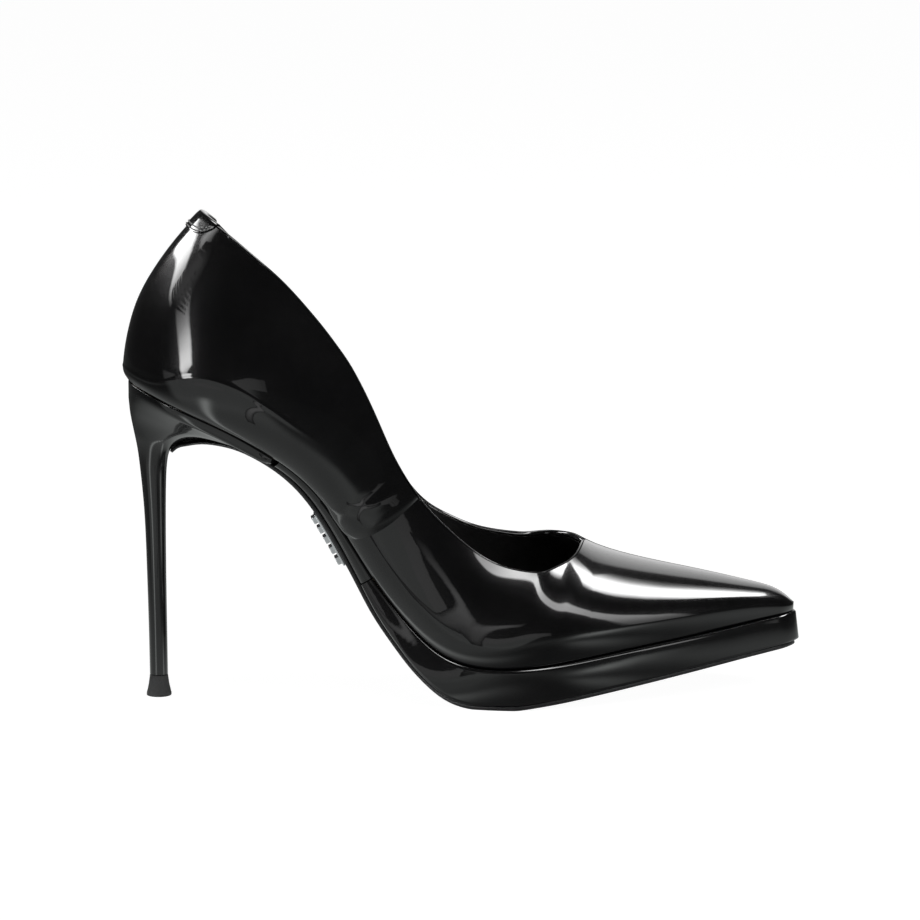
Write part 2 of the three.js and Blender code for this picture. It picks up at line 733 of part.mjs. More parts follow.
const heelPadHalf = (side, X) => plateHalf(side, X, 5) * roundEnd((-67 - X) / 10, 2);
const heelPad = plate(BACK_X + 5, -67, 2, heelPadHalf, () => SOCK_LOW + HEEL_PAD, () => SOCK_LOW);
add('heel_pad', solid(heelPad), 0xd8c9a8);

const ballPadHalf = (side, X) => plateHalf(side, X, 5) * roundEnd((X + 11) / 14, 2) * roundEnd((51 - X) / 14, 2);
const ballPad = plate(-11, 51, 2, ballPadHalf, () => SOCK_LOW + BALL_PAD, () => SOCK_LOW);
add('forefoot_pad', solid(ballPad), 0xd8c9a8);

// ---------- platform ----------
const platformOuter = spline([
  [-33, 23.3], [-22, 27.6], [-10, 34.0], [0, 38.9], [18, 43.4], [40, 39.9], [60, 32.4],
  [80, 23.4], [100, 13.2], [PLATFORM_TOE_X, 5.6],
]);
const platformInner = spline([
  [-33, 16.4], [-22, 18.6], [-10, 22.6], [0, 26.9], [18, 33.4], [40, 34.4], [60, 28.9],
  [80, 20.9], [100, 12.0], [PLATFORM_TOE_X, 5.0],
]);

function platformEdge(side, X, inset) {
  const half = (side < 0 ? platformOuter(X) : platformInner(X)) - inset;
  const back = X < -10 ? 1 : 1;
  return axisY(X) + side * half * back * roundEnd((PLATFORM_TOE_X - inset - X) / 7, TOE_POWER);
}

// level 0 is the top face of the platform, 1 its bottom face on the outsole
function platformPoint(side, X, inset, level, sink) {
  const topCut = JOIN_GAP + sink;
  const lowCut = OUTSOLE + JOIN_GAP + sink;
  const [tx, tz] = featherPoint(X, -topCut);
  const [bx, bz] = underPoint(underX(X), lowCut);
  return vec(mix(tx, bx, level), platformEdge(side, X, inset), mix(tz, bz, level));
}

const platformStations = stations(PLATFORM_BACK_X, 20, 10, PLATFORM_TOE_X, 11);

function platformRing(X, inset, sink, soften) {
  const ring = [];
  const profile = soften
    ? [[1.3, 0], [0.35, 0.04], [0, 0.14], [0, 0.88], [0.35, 0.97], [1.3, 1]]
    : [[0, 0], [0, 1]];
  for (const [more, level] of profile) ring.push(platformPoint(-1, X, inset + more, level, sink));
  for (const [more, level] of [...profile].reverse()) ring.push(platformPoint(1, X, inset + more, level, sink));
  return ring;
}

function platformSolid(from, inset, sink, soften) {
  const limit = PLATFORM_TOE_X - inset - 0.02;
  const list = platformStations.filter((X) => X >= from && X < limit - 0.15);
  if (list[0] > from) list.unshift(from);
  list.push(limit);
  return solid(loftBody(list.map((X) => platformRing(X, inset, sink, soften))));
}

// patent wrap: outside minus inside, open under the middle where the wrap is turned in
const platformOutside = platformSolid(PLATFORM_BACK_X, 0, 0, true);
const platformInside = platformSolid(PLATFORM_BACK_X - 2, COVER, COVER, false);
function platformWindow(inset) {
  const list = platformStations.filter((X) => X < 104);
  const rings = [PLATFORM_BACK_X - 3, ...list].map((X) => {
    const at = Math.max(X, PLATFORM_BACK_X);
    const top = featherPoint(at, 3);
    const low = underPoint(underX(at), -3);
    const shift = X - at;
    const near = axisY(at) - Math.max(platformOuter(at) - inset, 2);
    const far = axisY(at) + Math.max(platformInner(at) - inset, 2);
    return [
      vec(top[0] + shift, near, top[1]),
      vec(low[0] + shift, near, low[1]),
      vec(low[0] + shift, far, low[1]),
      vec(top[0] + shift, far, top[1]),
    ];
  });
  return solid(loftBody(rings));
}
const cover = platformOutside.subtract(platformInside).subtract(platformWindow(6.5));
add('platform_cover', cover, PATENT);
add('platform_core', platformSolid(PLATFORM_BACK_X, COVER + JOIN_GAP, COVER + JOIN_GAP, false), 0x9a8f7c);

// ---------- waist of the sole, between platform and heel ----------
const waistOuter = spline([[-66, 22.4], [-60, 21.8], [-45, 20.8], [-32, 22.6]]);
const waistInner = spline([[-66, 20.6], [-60, 19.2], [-45, 16.0], [-32, 15.8]]);
function waistRing(X, top) {
  const ring = [];
  const [tx, tz] = featherPoint(X, -top);
  const [bx, bz] = underPoint(underX(X), OUTSOLE + JOIN_GAP);
  const down = [[0.4, 0], [0, 0.15], [0.4, 0.7], [2.2, 1]];
  const row = down.map(([inset, level]) => [-1, inset, level]);
  row.push(...down.reverse().map(([inset, level]) => [1, inset, level]));
  for (const [side, inset, level] of row) {
    const half = (side < 0 ? waistOuter(X) : waistInner(X)) - inset;
    ring.push(vec(mix(tx, bx, level), axisY(X) + side * half, mix(tz, bz, level)));
  }
  return ring;
}
const waistStations = stations(WAIST_BACK_X, -34, 9, PLATFORM_BACK_X - JOIN_GAP, 1);
const shankSlot = solid(plate(
  -107, -9, 2, (side, X) => shankHalf(side, X) + JOIN_GAP, () => 2.2, () => 0,
));
const waist = solid(loftBody(waistStations.map((X) => waistRing(X, JOIN_GAP))));

// ---------- outsole ----------
const soleOuter = spline([
  [TONGUE_X, 5.2], [-94, 7.5], [-85, 11.5], [-75, 15.5], [-60, 18.6], [-45, 18.2], [-33, 20.2],
  [-22, 25.5], [-10, 33.0], [0, 38.2], [18, 42.8], [40, 39.3], [60, 31.8], [80, 22.8],
  [100, 12.7], [PLATFORM_TOE_X, 5.4],
]);
const soleInner = spline([
  [TONGUE_X, 5.2], [-94, 7.5], [-85, 11.5], [-75, 14.5], [-60, 16.0], [-45, 13.4], [-33, 14.0],
  [-22, 16.5], [-10, 21.8], [0, 26.3], [18, 32.8], [40, 33.8], [60, 28.3], [80, 20.3],
  [100, 11.6], [PLATFORM_TOE_X, 4.8],
]);
function soleAcross(side, x) {
  const half = side < 0 ? soleOuter(x) : soleInner(x);
  return half * roundEnd((PLATFORM_TOE_X - 0.2 - x) / 7, TOE_POWER) * roundEnd((x - TONGUE_X) / 5, 2);
}
function solePoint(x, across, lift) {
  const side = across < 0 ? -1 : 1;
  const [px, pz] = underPoint(x, lift);
  return vec(px, axisY(x) + across * soleAcross(side, x), pz);
}
const backSteps = [0, 0.35, 1.1, 2.4, 4.2, 7, 11, 16, 22, 28, 34, 39, 44, 48, 53, 58, 63, 68, 73, 78];
const soleStations = backSteps.map((d) => TONGUE_X + d);
for (let x = -16; x <= 12; x += 4) soleStations.push(x);
soleStations.push(...stations(18, 76, 5, PLATFORM_TOE_X - 0.2, 9));
const soleRows = 2;
const soleColumns = soleStations.length - 1;
const soleX = (i) => soleStations[Math.round(i * soleColumns)];
let outsole = solid(gridBody(
  soleColumns,
  soleRows,
  (i, j) => solePoint(soleX(i), j * 2 - 1, OUTSOLE),
  (i, j) => solePoint(soleX(i), j * 2 - 1, 0),
));

// ---------- heel ----------
// each ring: back x and z, front x on the underside, half width, roundness of the ring ends
const SEAT = JOIN_GAP;
const HEEL_CLEAR = OUTSOLE + JOIN_GAP + 0.05;
const cupRings = [
  [-113.9, 107.4, -66.2, 22.9, 0.95],
  [-113.9, 105.2, -72, 21.6, 0.85],
  [-113.9, 103.0, -78.5, 19.0, 0.7],
  [-113.7, 100.6, -85, 15.6, 0.45],
  [-113.4, 97.8, -91, 12.0, 0.3],
  [-112.8, 94.4, -95.8, 8.8, 0.12],
].map(([bx, bz, x, half, open]) => [bx, bz, ...underPoint(x, HEEL_CLEAR), half, open]);
const heelRings = [
  [-113.9, 113.4, -63.9, 89.0, 23.3, 1.0],
  ...cupRings,
  [-112.0, 90.4, -99.7, 85.4, 6.4, 0],
  [-111.1, 85.6, -101.0, 81.2, 4.9, 0],
  [-110.3, 79, -101.4, 76.6, 4.1, 0],
  [-109.1, 65, -101.7, 65, 3.5, 0],
  [-108.4, 45, -101.8, 45, 3.2, 0],
  [-108.0, 25, -101.7, 25, 3.05, 0],
  [-107.8, TIP_HEIGHT + JOIN_GAP, -101.6, TIP_HEIGHT + JOIN_GAP, 3.0, 0],
];
const HEEL_FACETS = 8;
function heelRing(row, inset) {
  const [bx, bz, fx, fz, half, open] = row;
  const length = Math.hypot(fx - bx, fz - bz);
  const ux = (fx - bx) / length;
  const uz = (fz - bz) / length;
  const run = length - 2 * inset;
  const wide = half - inset;
  const backLong = mix(0.5, (BACK_ROUND - inset) / run, open);
  const frontLong = mix(0.5, 3 / run, open);
  const halfAt = (f) => wide * roundEnd(f / backLong, BACK_POWER) * roundEnd((1 - f) / frontLong, 2.1);
  const ring = [];
  const spot = (f, side) => {
    const d = inset + f * run;
    ring.push(vec(bx + ux * d, side * halfAt(f), bz + uz * d));
  };
  for (let i = 0; i <= HEEL_FACETS; i += 1) spot(0.5 - 0.5 * Math.cos((Math.PI * i) / HEEL_FACETS), -1);
  for (let i = HEEL_FACETS - 1; i > 0; i -= 1) spot(0.5 - 0.5 * Math.cos((Math.PI * i) / HEEL_FACETS), 1);
  return ring;
}
function heelSolid(inset, lowLift) {
  const rows = heelRings.map((row) => [...row]);
  rows[rows.length - 1][1] -= lowLift;
  rows[rows.length - 1][3] -= lowLift;
  return solid(loftBody(rows.map((row) => heelRing(row, inset))));
}
// everything above the seat face is cut away
const seatCutter = solid(plate(
  BACK_X - 6, -30, 2, () => 60, () => 60, () => -SEAT,
));
// everything below the underside raised by lift
function belowUnderside(lift) {
  const place = (i) => mix(TONGUE_X, -60, i);
  return solid(gridBody(
    20,
    1,
    (i, j) => vec(underPoint(place(i), lift)[0], mix(-30, 30, j), underPoint(place(i), lift)[1]),
    (i, j) => vec(underPoint(place(i), -4)[0], mix(-30, 30, j), underPoint(place(i), -4)[1]),
  ));
}
const SOLE_SPACE = OUTSOLE + JOIN_GAP;
const heelOuter = heelSolid(0, 0).subtract(seatCutter).subtract(belowUnderside(SOLE_SPACE));
const heelInner = heelSolid(COVER, 1).subtract(belowUnderside(SOLE_SPACE + COVER));
add('heel_cover', heelOuter.subtract(heelInner), PATENT);
let heelCore = heelSolid(COVER + 2 * JOIN_GAP, 0).subtract(seatCutter);
heelCore = heelCore.subtract(belowUnderside(SOLE_SPACE + COVER + JOIN_GAP));

// ---------- heel fixings ----------
const rodTop = vec(-105.2, 0, 92);
const rodLow = vec(SHAFT_X, 0, 20);
const heelRod = rod(rodLow, rodTop, 1.3);
add('heel_rod', heelRod, STEEL, { metalness: 1 });
heelCore = heelCore.subtract(rod(vec(SHAFT_X, 0, TIP_HEIGHT - 1), vec(-105.2, 0, 92.4), 1.6));

const pinProfile = [[0, 1.5], [2.2, 1.5], [2.2, 2.5], [1.2, 2.5], [1.2, 18], [0, 18]];
add('heel_tip_pin', turned(pinProfile, SHAFT_X, 16), STEEL, { metalness: 1 });
const tipProfile = [
  [0, 0], [TIP_BASE_RADIUS, 0], [TIP_BASE_RADIUS, 1.2], [TIP_TOP_RADIUS, TIP_HEIGHT],
  [1.5, TIP_HEIGHT], [1.5, 2.8], [2.5, 2.8], [2.5, 1.2], [0, 1.2],
];
add('heel_tip', turned(tipProfile, SHAFT_X, 28), 0x232325, { roughness: 0.8 });

// turned shape from [radius, distance] points, its line square to the feather line at X
function fixingShape(X, y, profile) {
  const facets = profile[3][0] > 2.5 ? 12 : 8;
  const geometry = new THREE.LatheGeometry(profile.map(([r, d]) => new THREE.Vector2(r, d)), facets);
  const [ax, az] = featherPoint(X, 0);
  const [bx, bz] = featherPoint(X, 1);
  const turn = new THREE.Quaternion();
  turn.setFromUnitVectors(vec(0, 1, 0), vec(bx - ax, 0, bz - az));
  geometry.applyQuaternion(turn);
  geometry.translate(ax, y, az);
  return solidOf(geometry);
}
function fixing(X, y, headRadius, radius, length) {
  const under = BOARD_HIGH - 1.0;
  const low = -length;
  return fixingShape(X, y, [[0, low], [radius, low], [radius, under], [headRadius, under], [headRadius, BOARD_HIGH], [0, BOARD_HIGH]]);
}
function fixingSpace(X, y, headRadius, radius, length) {
  const under = BOARD_HIGH - 1.3;
  const low = -length - 0.4;
  const high = BOARD_HIGH + 1;
  const head = headRadius + 0.35;
  const stem = radius + 0.35;
  return fixingShape(X, y, [[0, low], [stem, low], [stem, under], [head, under], [head, high], [0, high]]);
}
const fixings = [['heel_screw', -94, 0, 3.4, 1.8, 8]];
for (const [i, [X, y]] of [[-103, -10], [-103, 10], [-83, -10], [-83, 10]].entries()) {
  fixings.push([`heel_nail_${i + 1}`, X, y, 1.6, 0.8, 4]);
}
for (const [name, X, y, headRadius, radius, length] of fixings) {
  add(name, fixing(X, y, headRadius, radius, length), STEEL, { metalness: 1 });
  const space = fixingSpace(X, y, headRadius, radius, length);
  board = board.subtract(space);
  shank = shank.subtract(space);
  heelCore = heelCore.subtract(space);
}
add('insole_board', board, 0xb59a6d);
add('steel_shank', shank, STEEL, { metalness: 1 });

heelCore = heelCore.subtract(shankSlot);
add('heel_core', heelCore, 0x3a3a3c);

// ---------- metal ornament on the underside of the waist ----------
const ORNAMENT_FROM = -50.8;
const ORNAMENT_TO = -40.8;
const ORNAMENT_Y = -5.0;
function ornamentSlab(from, to, halfWide, low, high, steps) {
  const rings = [];
  for (let i = 0; i <= steps; i += 1) {
    const x = mix(from, to, i / steps);
    const a = underPoint(x, -low);
    const b = underPoint(x, -high);
    rings.push([
      vec(a[0], ORNAMENT_Y - halfWide, a[1]), vec(b[0], ORNAMENT_Y - halfWide, b[1]),
      vec(b[0], ORNAMENT_Y + halfWide, b[1]), vec(a[0], ORNAMENT_Y + halfWide, a[1]),
    ]);
  }
  return solid(loftBody(rings));
}
let ornament = ornamentSlab(ORNAMENT_FROM, ORNAMENT_TO, 3.4, 0.3, 1.1, 8);
for (let i = 0; i < 5; i += 1) {
  const from = mix(ORNAMENT_FROM, ORNAMENT_TO, (i + 0.12) / 5);
  const to = mix(ORNAMENT_FROM, ORNAMENT_TO, (i + 0.78) / 5);
  ornament = ornament.add(ornamentSlab(from, to, 2.7, 0.9, 2.5, 2));
}
for (const x of [ORNAMENT_FROM + 2.5, ORNAMENT_TO - 2.5]) {
  const [ax, az] = underPoint(x, -0.6);
  const [bx, bz] = underPoint(x, OUTSOLE + 0.4);
  const [cx, cz] = underPoint(x, OUTSOLE + 0.8);
  ornament = ornament.add(rod(vec(ax, ORNAMENT_Y, az), vec(bx, ORNAMENT_Y, bz), 0.8));
  outsole = outsole.subtract(rod(vec(ax, ORNAMENT_Y, az), vec(cx, ORNAMENT_Y, cz), 1.1));
}
add('sole_ornament', ornament, STEEL, { metalness: 1 });
const pinSpace = [ORNAMENT_FROM + 2.5, ORNAMENT_TO - 2.5].map((x) => {
  const [ax, az] = underPoint(x, 0);
  const [cx, cz] = underPoint(x, OUTSOLE + 0.9);
  return rod(vec(ax, ORNAMENT_Y, az), vec(cx, ORNAMENT_Y, cz), 1.1);
});
add('waist_cover', waist.subtract(shankSlot).subtract(pinSpace[0]).subtract(pinSpace[1]), PATENT);
add('outsole', outsole, 0x18181a, { roughness: 0.6 });

// ---------- small tab folded over the back peak ----------
const TAB_REACH = 2.3;
const TAB = 0.8;
const bindingRise = 2 * JOIN_GAP + 2 * BINDING_HALF_TALL;
function tabPath(q) {
  const side = q < 0 ? -1 : 1;
  const X = BACK_X + q * q;
  const edge = topline(side, X);
  const drop = 0.08 * (1 - (Math.abs(q) / TAB_REACH) ** 6);
  const up = upLast(side, X, edge);
  const normal = lastNormal(side, X, edge);
  const path = [];
  for (const f of [1, 0.66, 0.33]) {
    const v = edge - (drop + 0.01) * f;
    const n = lastNormal(side, X, v);
    path.push([lastPoint(side, X, v).addScaledVector(n, JOIN_GAP), n]);
  }
  const top = lastPoint(side, X, edge);
  const corner = (rise, depth, lean) => {
    const n = normal.clone().multiplyScalar(Math.cos(lean)).addScaledVector(up, Math.sin(lean));
    path.push([top.clone().addScaledVector(up, rise).addScaledVector(normal, -depth), n]);
  };
  const outside = EDGE_DEPTH - BINDING_HALF_WIDE - JOIN_GAP;
  const inside = EDGE_DEPTH + BINDING_HALF_WIDE + JOIN_GAP;
  corner(0.4, outside - 0.05, 0);
  corner(bindingRise - 0.5, outside + 0.2, Math.PI / 5);
  corner(bindingRise, EDGE_DEPTH, Math.PI / 2);
  corner(bindingRise - 0.5, inside - 0.2, (4 * Math.PI) / 5);
  corner(0.4, inside + 0.05, Math.PI);
  corner(-3.0, inside + 0.05, Math.PI);
  return path;
}
const TAB_COLUMNS = 10;
const tabRings = [];
for (let i = 0; i <= TAB_COLUMNS; i += 1) {
  const path = tabPath(mix(-TAB_REACH, TAB_REACH, i / TAB_COLUMNS));
  const near = path.map(([p]) => p);
  const far = path.map(([p, n]) => p.clone().addScaledVector(n, TAB));
  tabRings.push([...near, ...far.reverse()]);
}
add('back_tab', solid(loftBody(tabRings)), PATENT);

// ---------- assembly ----------
// the whole shoe slides so that its box is centred over the origin
const box = new THREE.Box3();
for (const part of parts) {
  part.geometry.computeBoundingBox();
  box.union(part.geometry.boundingBox);
}
const slide = box.getCenter(vec(0, 0, 0));
const group = new THREE.Group();
group.name = 'high_heel_pump';
for (const part of parts) {
  part.geometry.translate(-slide.x, -slide.y, 0);
  group.add(part);
}
export default group;
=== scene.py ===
import math

import bpy
import bmesh
import numpy as np
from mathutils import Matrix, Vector


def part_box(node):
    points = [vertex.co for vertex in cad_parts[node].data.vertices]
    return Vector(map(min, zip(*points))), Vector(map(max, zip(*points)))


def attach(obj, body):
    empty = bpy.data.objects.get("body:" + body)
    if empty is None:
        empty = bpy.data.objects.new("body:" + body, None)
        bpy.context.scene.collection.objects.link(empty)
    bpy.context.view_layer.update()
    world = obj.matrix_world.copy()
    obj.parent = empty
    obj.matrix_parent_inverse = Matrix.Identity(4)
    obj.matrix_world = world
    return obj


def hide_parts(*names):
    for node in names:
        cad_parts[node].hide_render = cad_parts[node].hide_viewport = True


# Platform stiletto pump, right foot. Lengths below are millimetres in the shoe maker's frame,
# where the middle of the heel shaft is at x = SHAFT_X; place() turns them into metres of the
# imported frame.
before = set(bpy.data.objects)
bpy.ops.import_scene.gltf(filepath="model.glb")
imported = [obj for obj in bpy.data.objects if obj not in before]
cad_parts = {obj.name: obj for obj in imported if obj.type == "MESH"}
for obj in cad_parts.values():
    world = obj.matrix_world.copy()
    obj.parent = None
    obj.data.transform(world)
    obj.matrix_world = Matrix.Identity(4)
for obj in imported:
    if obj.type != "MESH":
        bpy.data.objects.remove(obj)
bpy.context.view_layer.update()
MM = 0.001

# ---------- driving dimensions, the same as the CAD part ----------
BACK_X = -113.8
TOE_X = 114.8
BACK_ROUND = 31.0
TOE_ROUND = 6.0
BACK_POWER = 2.15
TOE_POWER = 2.2
WIDEST_V = 0.3
THROAT_X = 37.4
STAND_OFF = 3.2
GAP = 0.3
SHOWN_GAP = 0.08
SEAM_GAP = 0.02
BACK_SEAM_SHARE = 0.0003
LEATHER = 1.1
LINING = 0.8
STIFFENER = 0.7
BOARD_HIGH = 3.2
SOCK = 0.8
OUTSOLE = 1.5
PLATFORM_BACK_X = -32.5
PLATFORM_TOE_X = 115.5
TAPER_X = 100
PLATFORM_TIP_X = PLATFORM_TOE_X - 0.02
SOLE_TIP_X = PLATFORM_TOE_X - 0.2
WAIST_BACK_X = -63.5
TONGUE_X = -99.4
SHAFT_X = -104.7
TIP_HEIGHT = 7.2
TIP_BASE_RADIUS = 4.25
TIP_TOP_RADIUS = 3.15

pin_low, pin_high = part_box("heel_tip_pin")
SLIDE_X = SHAFT_X - (pin_low.x + pin_high.x) / 2 / MM
SLIDE_Y = -(pin_low.y + pin_high.y) / 2 / MM


# ---------- small helpers ----------
def spline(points, soften=0.0):
    """natural cubic through points, averaged over a few millimetres when soften is given"""
    t = np.array([p[0] for p in points], float)
    y = np.array([p[1] for p in points], float)
    n = len(t)
    h = np.diff(t)
    system = np.eye(n)
    right = np.zeros(n)
    for i in range(1, n - 1):
        system[i, i - 1 : i + 2] = h[i - 1], 2 * (h[i - 1] + h[i]), h[i]
        right[i] = 6 * ((y[i + 1] - y[i]) / h[i] - (y[i] - y[i - 1]) / h[i - 1])
    k = np.linalg.solve(system, right)
    first = (y[1] - y[0]) / h[0] - h[0] * k[1] / 6
    last = (y[-1] - y[-2]) / h[-1] + h[-1] * k[-2] / 6

    def at(x):
        x = np.asarray(x, float)
        i = np.clip(np.searchsorted(t, x, side="right") - 1, 0, n - 2)
        a = (t[i + 1] - x) / h[i]
        b = 1 - a
        bend = ((a**3 - a) * k[i] + (b**3 - b) * k[i + 1]) * h[i] ** 2 / 6
        inside = a * y[i] + b * y[i + 1] + bend
        inside = np.where(x < t[0], y[0] + first * (x - t[0]), inside)
        return np.where(x > t[-1], y[-1] + last * (x - t[-1]), inside)

    if not soften:
        return at
    offsets = np.linspace(-2, 2, 9)
    weights = np.exp(-offsets**2 / 2)
    weights /= weights.sum()
    x = np.linspace(t[0] - 4, t[-1] + 4, 160)
    return spline(list(zip(x, sum(w * at(x + d * soften) for w, d in zip(weights, offsets)))))


def smooth(a, b, x):
    t = np.clip((x - a) / (b - a), 0, 1)
    return t * t * (3 - 2 * t)


def mix(a, b, t):
    return a + (b - a) * t


def bell(x):
    return np.exp(-(x**2))


def round_end(t, power):
    s = np.clip(t, 0, 1)
    return (1 - (1 - s) ** power) ** (1 / power)


def point(x, y, z):
    return np.stack(np.broadcast_arrays(x, y, z), -1).astype(float)


def unit(v):
    return v / np.maximum(np.linalg.norm(v, axis=-1, keepdims=True), 1e-9)


def direction(azimuth, elevation):
    """unit vector for angles in degrees, azimuth 0 on the shoe's outer side"""
    a = np.radians(azimuth)
    e = np.radians(elevation)
    return point(np.sin(a) * np.cos(e), -np.cos(a) * np.cos(e), np.sin(e))


def place(p):
    """millimetres of the shoe maker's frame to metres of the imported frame"""
    return (np.asarray(p, float) - (SLIDE_X, SLIDE_Y, 0)) * MM


# ---------- the shoe last ----------
feather_z = spline([
    (BACK_X, 109.3), (-99, 102.5), (-83, 95.2), (-66.5, 85.4), (-53, 74.0), (-42.5, 59.6),
    (-32.5, 43.2), (-22, 29.3), (-11, 18.8), (0, 14.6), (11, 14.1), (24, 15.1), (45, 17.9),
    (76, 21.5), (TOE_X, 26.2),
], 2.0)
crest_x = spline([
    (BACK_X, -88.3), (-99, -75), (-83, -60), (-66.5, -44), (-53, -30), (-42.5, -19), (-30, -7),
    (-15, 6), (0, 18), (20, 31), (41, 45.5), (62, 64), (90, 91), (TOE_X, 114.9),
], 2.5)
crest_z = spline([
    (-88.3, 166.2), (-75, 156.5), (-60, 144.2), (-44, 128), (-30, 112.5), (-18, 100), (-5, 87.5),
    (8, 76), (20, 66.3), (31, 58.5), (42, 51.2), (56.7, 45.5), (81.7, 40.0), (102.7, 35.3),
    (111, 32.0), (114.9, 28.6),
], 1.5)
axis_y = spline([(BACK_X, 0), (-80, 0), (-40, 2), (0, 5), (40, 5), (80, 3), (TOE_X, 1)], 3.0)
outer_half = spline([
    (BACK_X, 23), (-95, 24), (-80, 24.5), (-60, 22.5), (-42, 22), (-22, 27), (0, 37), (18, 41.5),
    (40, 38), (60, 30.5), (80, 21.5), (100, 11.5), (TOE_X, 4.5),
], 3.0)
inner_half = spline([
    (BACK_X, 23), (-95, 24), (-80, 24), (-60, 20), (-42, 16.5), (-22, 18), (0, 25), (18, 31.5),
    (40, 32.5), (60, 27), (80, 19), (100, 10.3), (TOE_X, 4),
], 3.0)
flare = spline([
    (BACK_X, 5), (-80, 5.5), (-40, 5), (-10, 3.5), (20, 3), (60, 2.5), (100, 1.5), (TOE_X, 1),
], 3.0)
widest_height = spline([
    (BACK_X, 13), (-80, 13), (-40, 13), (-10, 10), (20, 8.5), (60, 7), (100, 4.5), (TOE_X, 1.6),
], 3.0)
opening_half = spline([
    (BACK_X, 24), (-95, 23), (-80, 22.5), (-60, 22.5), (-40, 22), (-20, 20), (0, 14), (20, 6),
    (41, 0), (TOE_X, 0),
], 3.0)
heel_bulge = spline([
    (0, 0), (0.02, 2.0), (0.06, 3.7), (0.14, 5.3), (0.25, 6.9), (0.42, 8.1), (0.6, 7.2),
    (0.8, 4.5), (0.9, 2.6), (1, 0.4),
])


def end_round(X, inset):
    back = round_end((X - BACK_X - inset) / BACK_ROUND, BACK_POWER)
    return back * round_end((TOE_X - inset - X) / TOE_ROUND, TOE_POWER)


def last_point(side, X, v):
    """side -1 outer, 1 inner; X along the feather line; v from 0 there to 1 on the crest"""
    side, X, v = np.broadcast_arrays(side, X, v)
    half = np.where(side < 0, outer_half(X), inner_half(X))
    out = flare(X)
    low = widest_height(X)
    foot_z = feather_z(X)
    top_x = crest_x(X)
    top_z = crest_z(top_x)
    height = np.hypot(top_x - X, top_z - foot_z)
    a = (math.pi / 2) * (np.clip(v, 0, WIDEST_V) / WIDEST_V)
    w_low = half + out * np.sin(a)
    h_low = low * (1 - np.cos(a))
    t = np.maximum((v - WIDEST_V) / (1 - WIDEST_V), 0)
    closed = smooth(-20, 38, X)
    rise = height - low
    mouth = opening_half(X)
    wide = half + out
    b0 = (1 - t) ** 3
    b1 = 3 * t * (1 - t) ** 2
    b2 = 3 * t * t * (1 - t)
    b3 = t**3
    shoulder = mix(mouth + 2.0, 0.6 * wide, closed)
    w_high = b0 * wide + b1 * wide + b2 * shoulder + b3 * mouth * (1 - closed)
    h_high = b0 * low + b1 * (low + mix(0.35, 0.56, closed) * rise)
    h_high = h_high + b2 * (low + mix(0.7, 1.0, closed) * rise) + b3 * height
    w = np.where(v < WIDEST_V, w_low, w_high)
    # the outer side stands off the foot toward its topline
    stand = smooth(-40, -5, X) * (1 - smooth(13, 27, X)) * smooth(0.3, 0.66, v)
    w = w + np.where(side < 0, STAND_OFF * stand, 0)
    h = np.where(v < WIDEST_V, h_low, h_high)
    up_x = (top_x - X) / height
    up_z = (top_z - foot_z) / height
    fade = np.maximum(0, 1 - (X - BACK_X) / BACK_ROUND) ** 2
    bulge = heel_bulge(h / height) * fade
    y = axis_y(X) + side * w * end_round(X, 0)
    return point(X + up_x * h - up_z * bulge, y, foot_z + up_z * h + up_x * bulge)


def round_last(side, X, v, end_x, way):
    """step round an end of the last; way is 1 at the back and -1 at the toe"""
    step = 0.05 * way
    q = side * np.sqrt(np.maximum(way * (X - end_x), 0))
    after, before = [
        last_point(np.where(near < 0, -1, 1), end_x + way * near**2, v)
        for near in (q + step, q - step)
    ]
    return after - before


def along_last(side, X, v):
    """step along the last, toward the toe on the inner side and toward the back on the outer"""
    back = round_last(side, X, v, BACK_X, 1)
    toe = round_last(side, X, v, TOE_X, -1)
    middle = last_point(side, X + 0.2, v) - last_point(side, X - 0.2, v)
    middle = middle * np.asarray(side)[..., None]
    near_back = (np.asarray(X) < BACK_X + 25)[..., None]
    near_toe = (np.asarray(X) > TOE_X - 12)[..., None]
    return np.where(near_back, back, np.where(near_toe, toe, middle))


def up_last(side, X, v):
    return unit(last_point(side, X, v + 0.005) - last_point(side, X, v - 0.005))


def side_normal(side, X, v):
    level = np.maximum(v, WIDEST_V)
    normal = unit(np.cross(up_last(side, X, level), along_last(side, X, level)))
    a = (math.pi / 2) * (np.clip(v, 0, WIDEST_V) / WIDEST_V)
    tilt = np.arctan2(flare(X) * np.cos(a), widest_height(X) * np.sin(a))
    top_x = crest_x(X)
    up = unit(point(top_x - X, 0, crest_z(top_x) - feather_z(X)))
    lower = unit(normal * np.cos(tilt)[..., None] - up * np.sin(tilt)[..., None])
    return np.where((v >= WIDEST_V)[..., None], normal, lower)


def last_normal(side, X, v):
    side, X, v = [np.array(q, float) for q in np.broadcast_arrays(side, X, v)]
    normal = side_normal(side, X, v)
    ridge = (v > 0.995) & (X >= THROAT_X - 0.01)
    both = unit(side_normal(-np.ones_like(X), X, v) + side_normal(np.ones_like(X), X, v))
    return np.where(ridge[..., None], both, normal)


def in_last(side, X, v, depth):
    side, X, v, depth = np.broadcast_arrays(side, X, v, depth)
    return last_point(side, X, v) - last_normal(side, X, v) * depth[..., None]


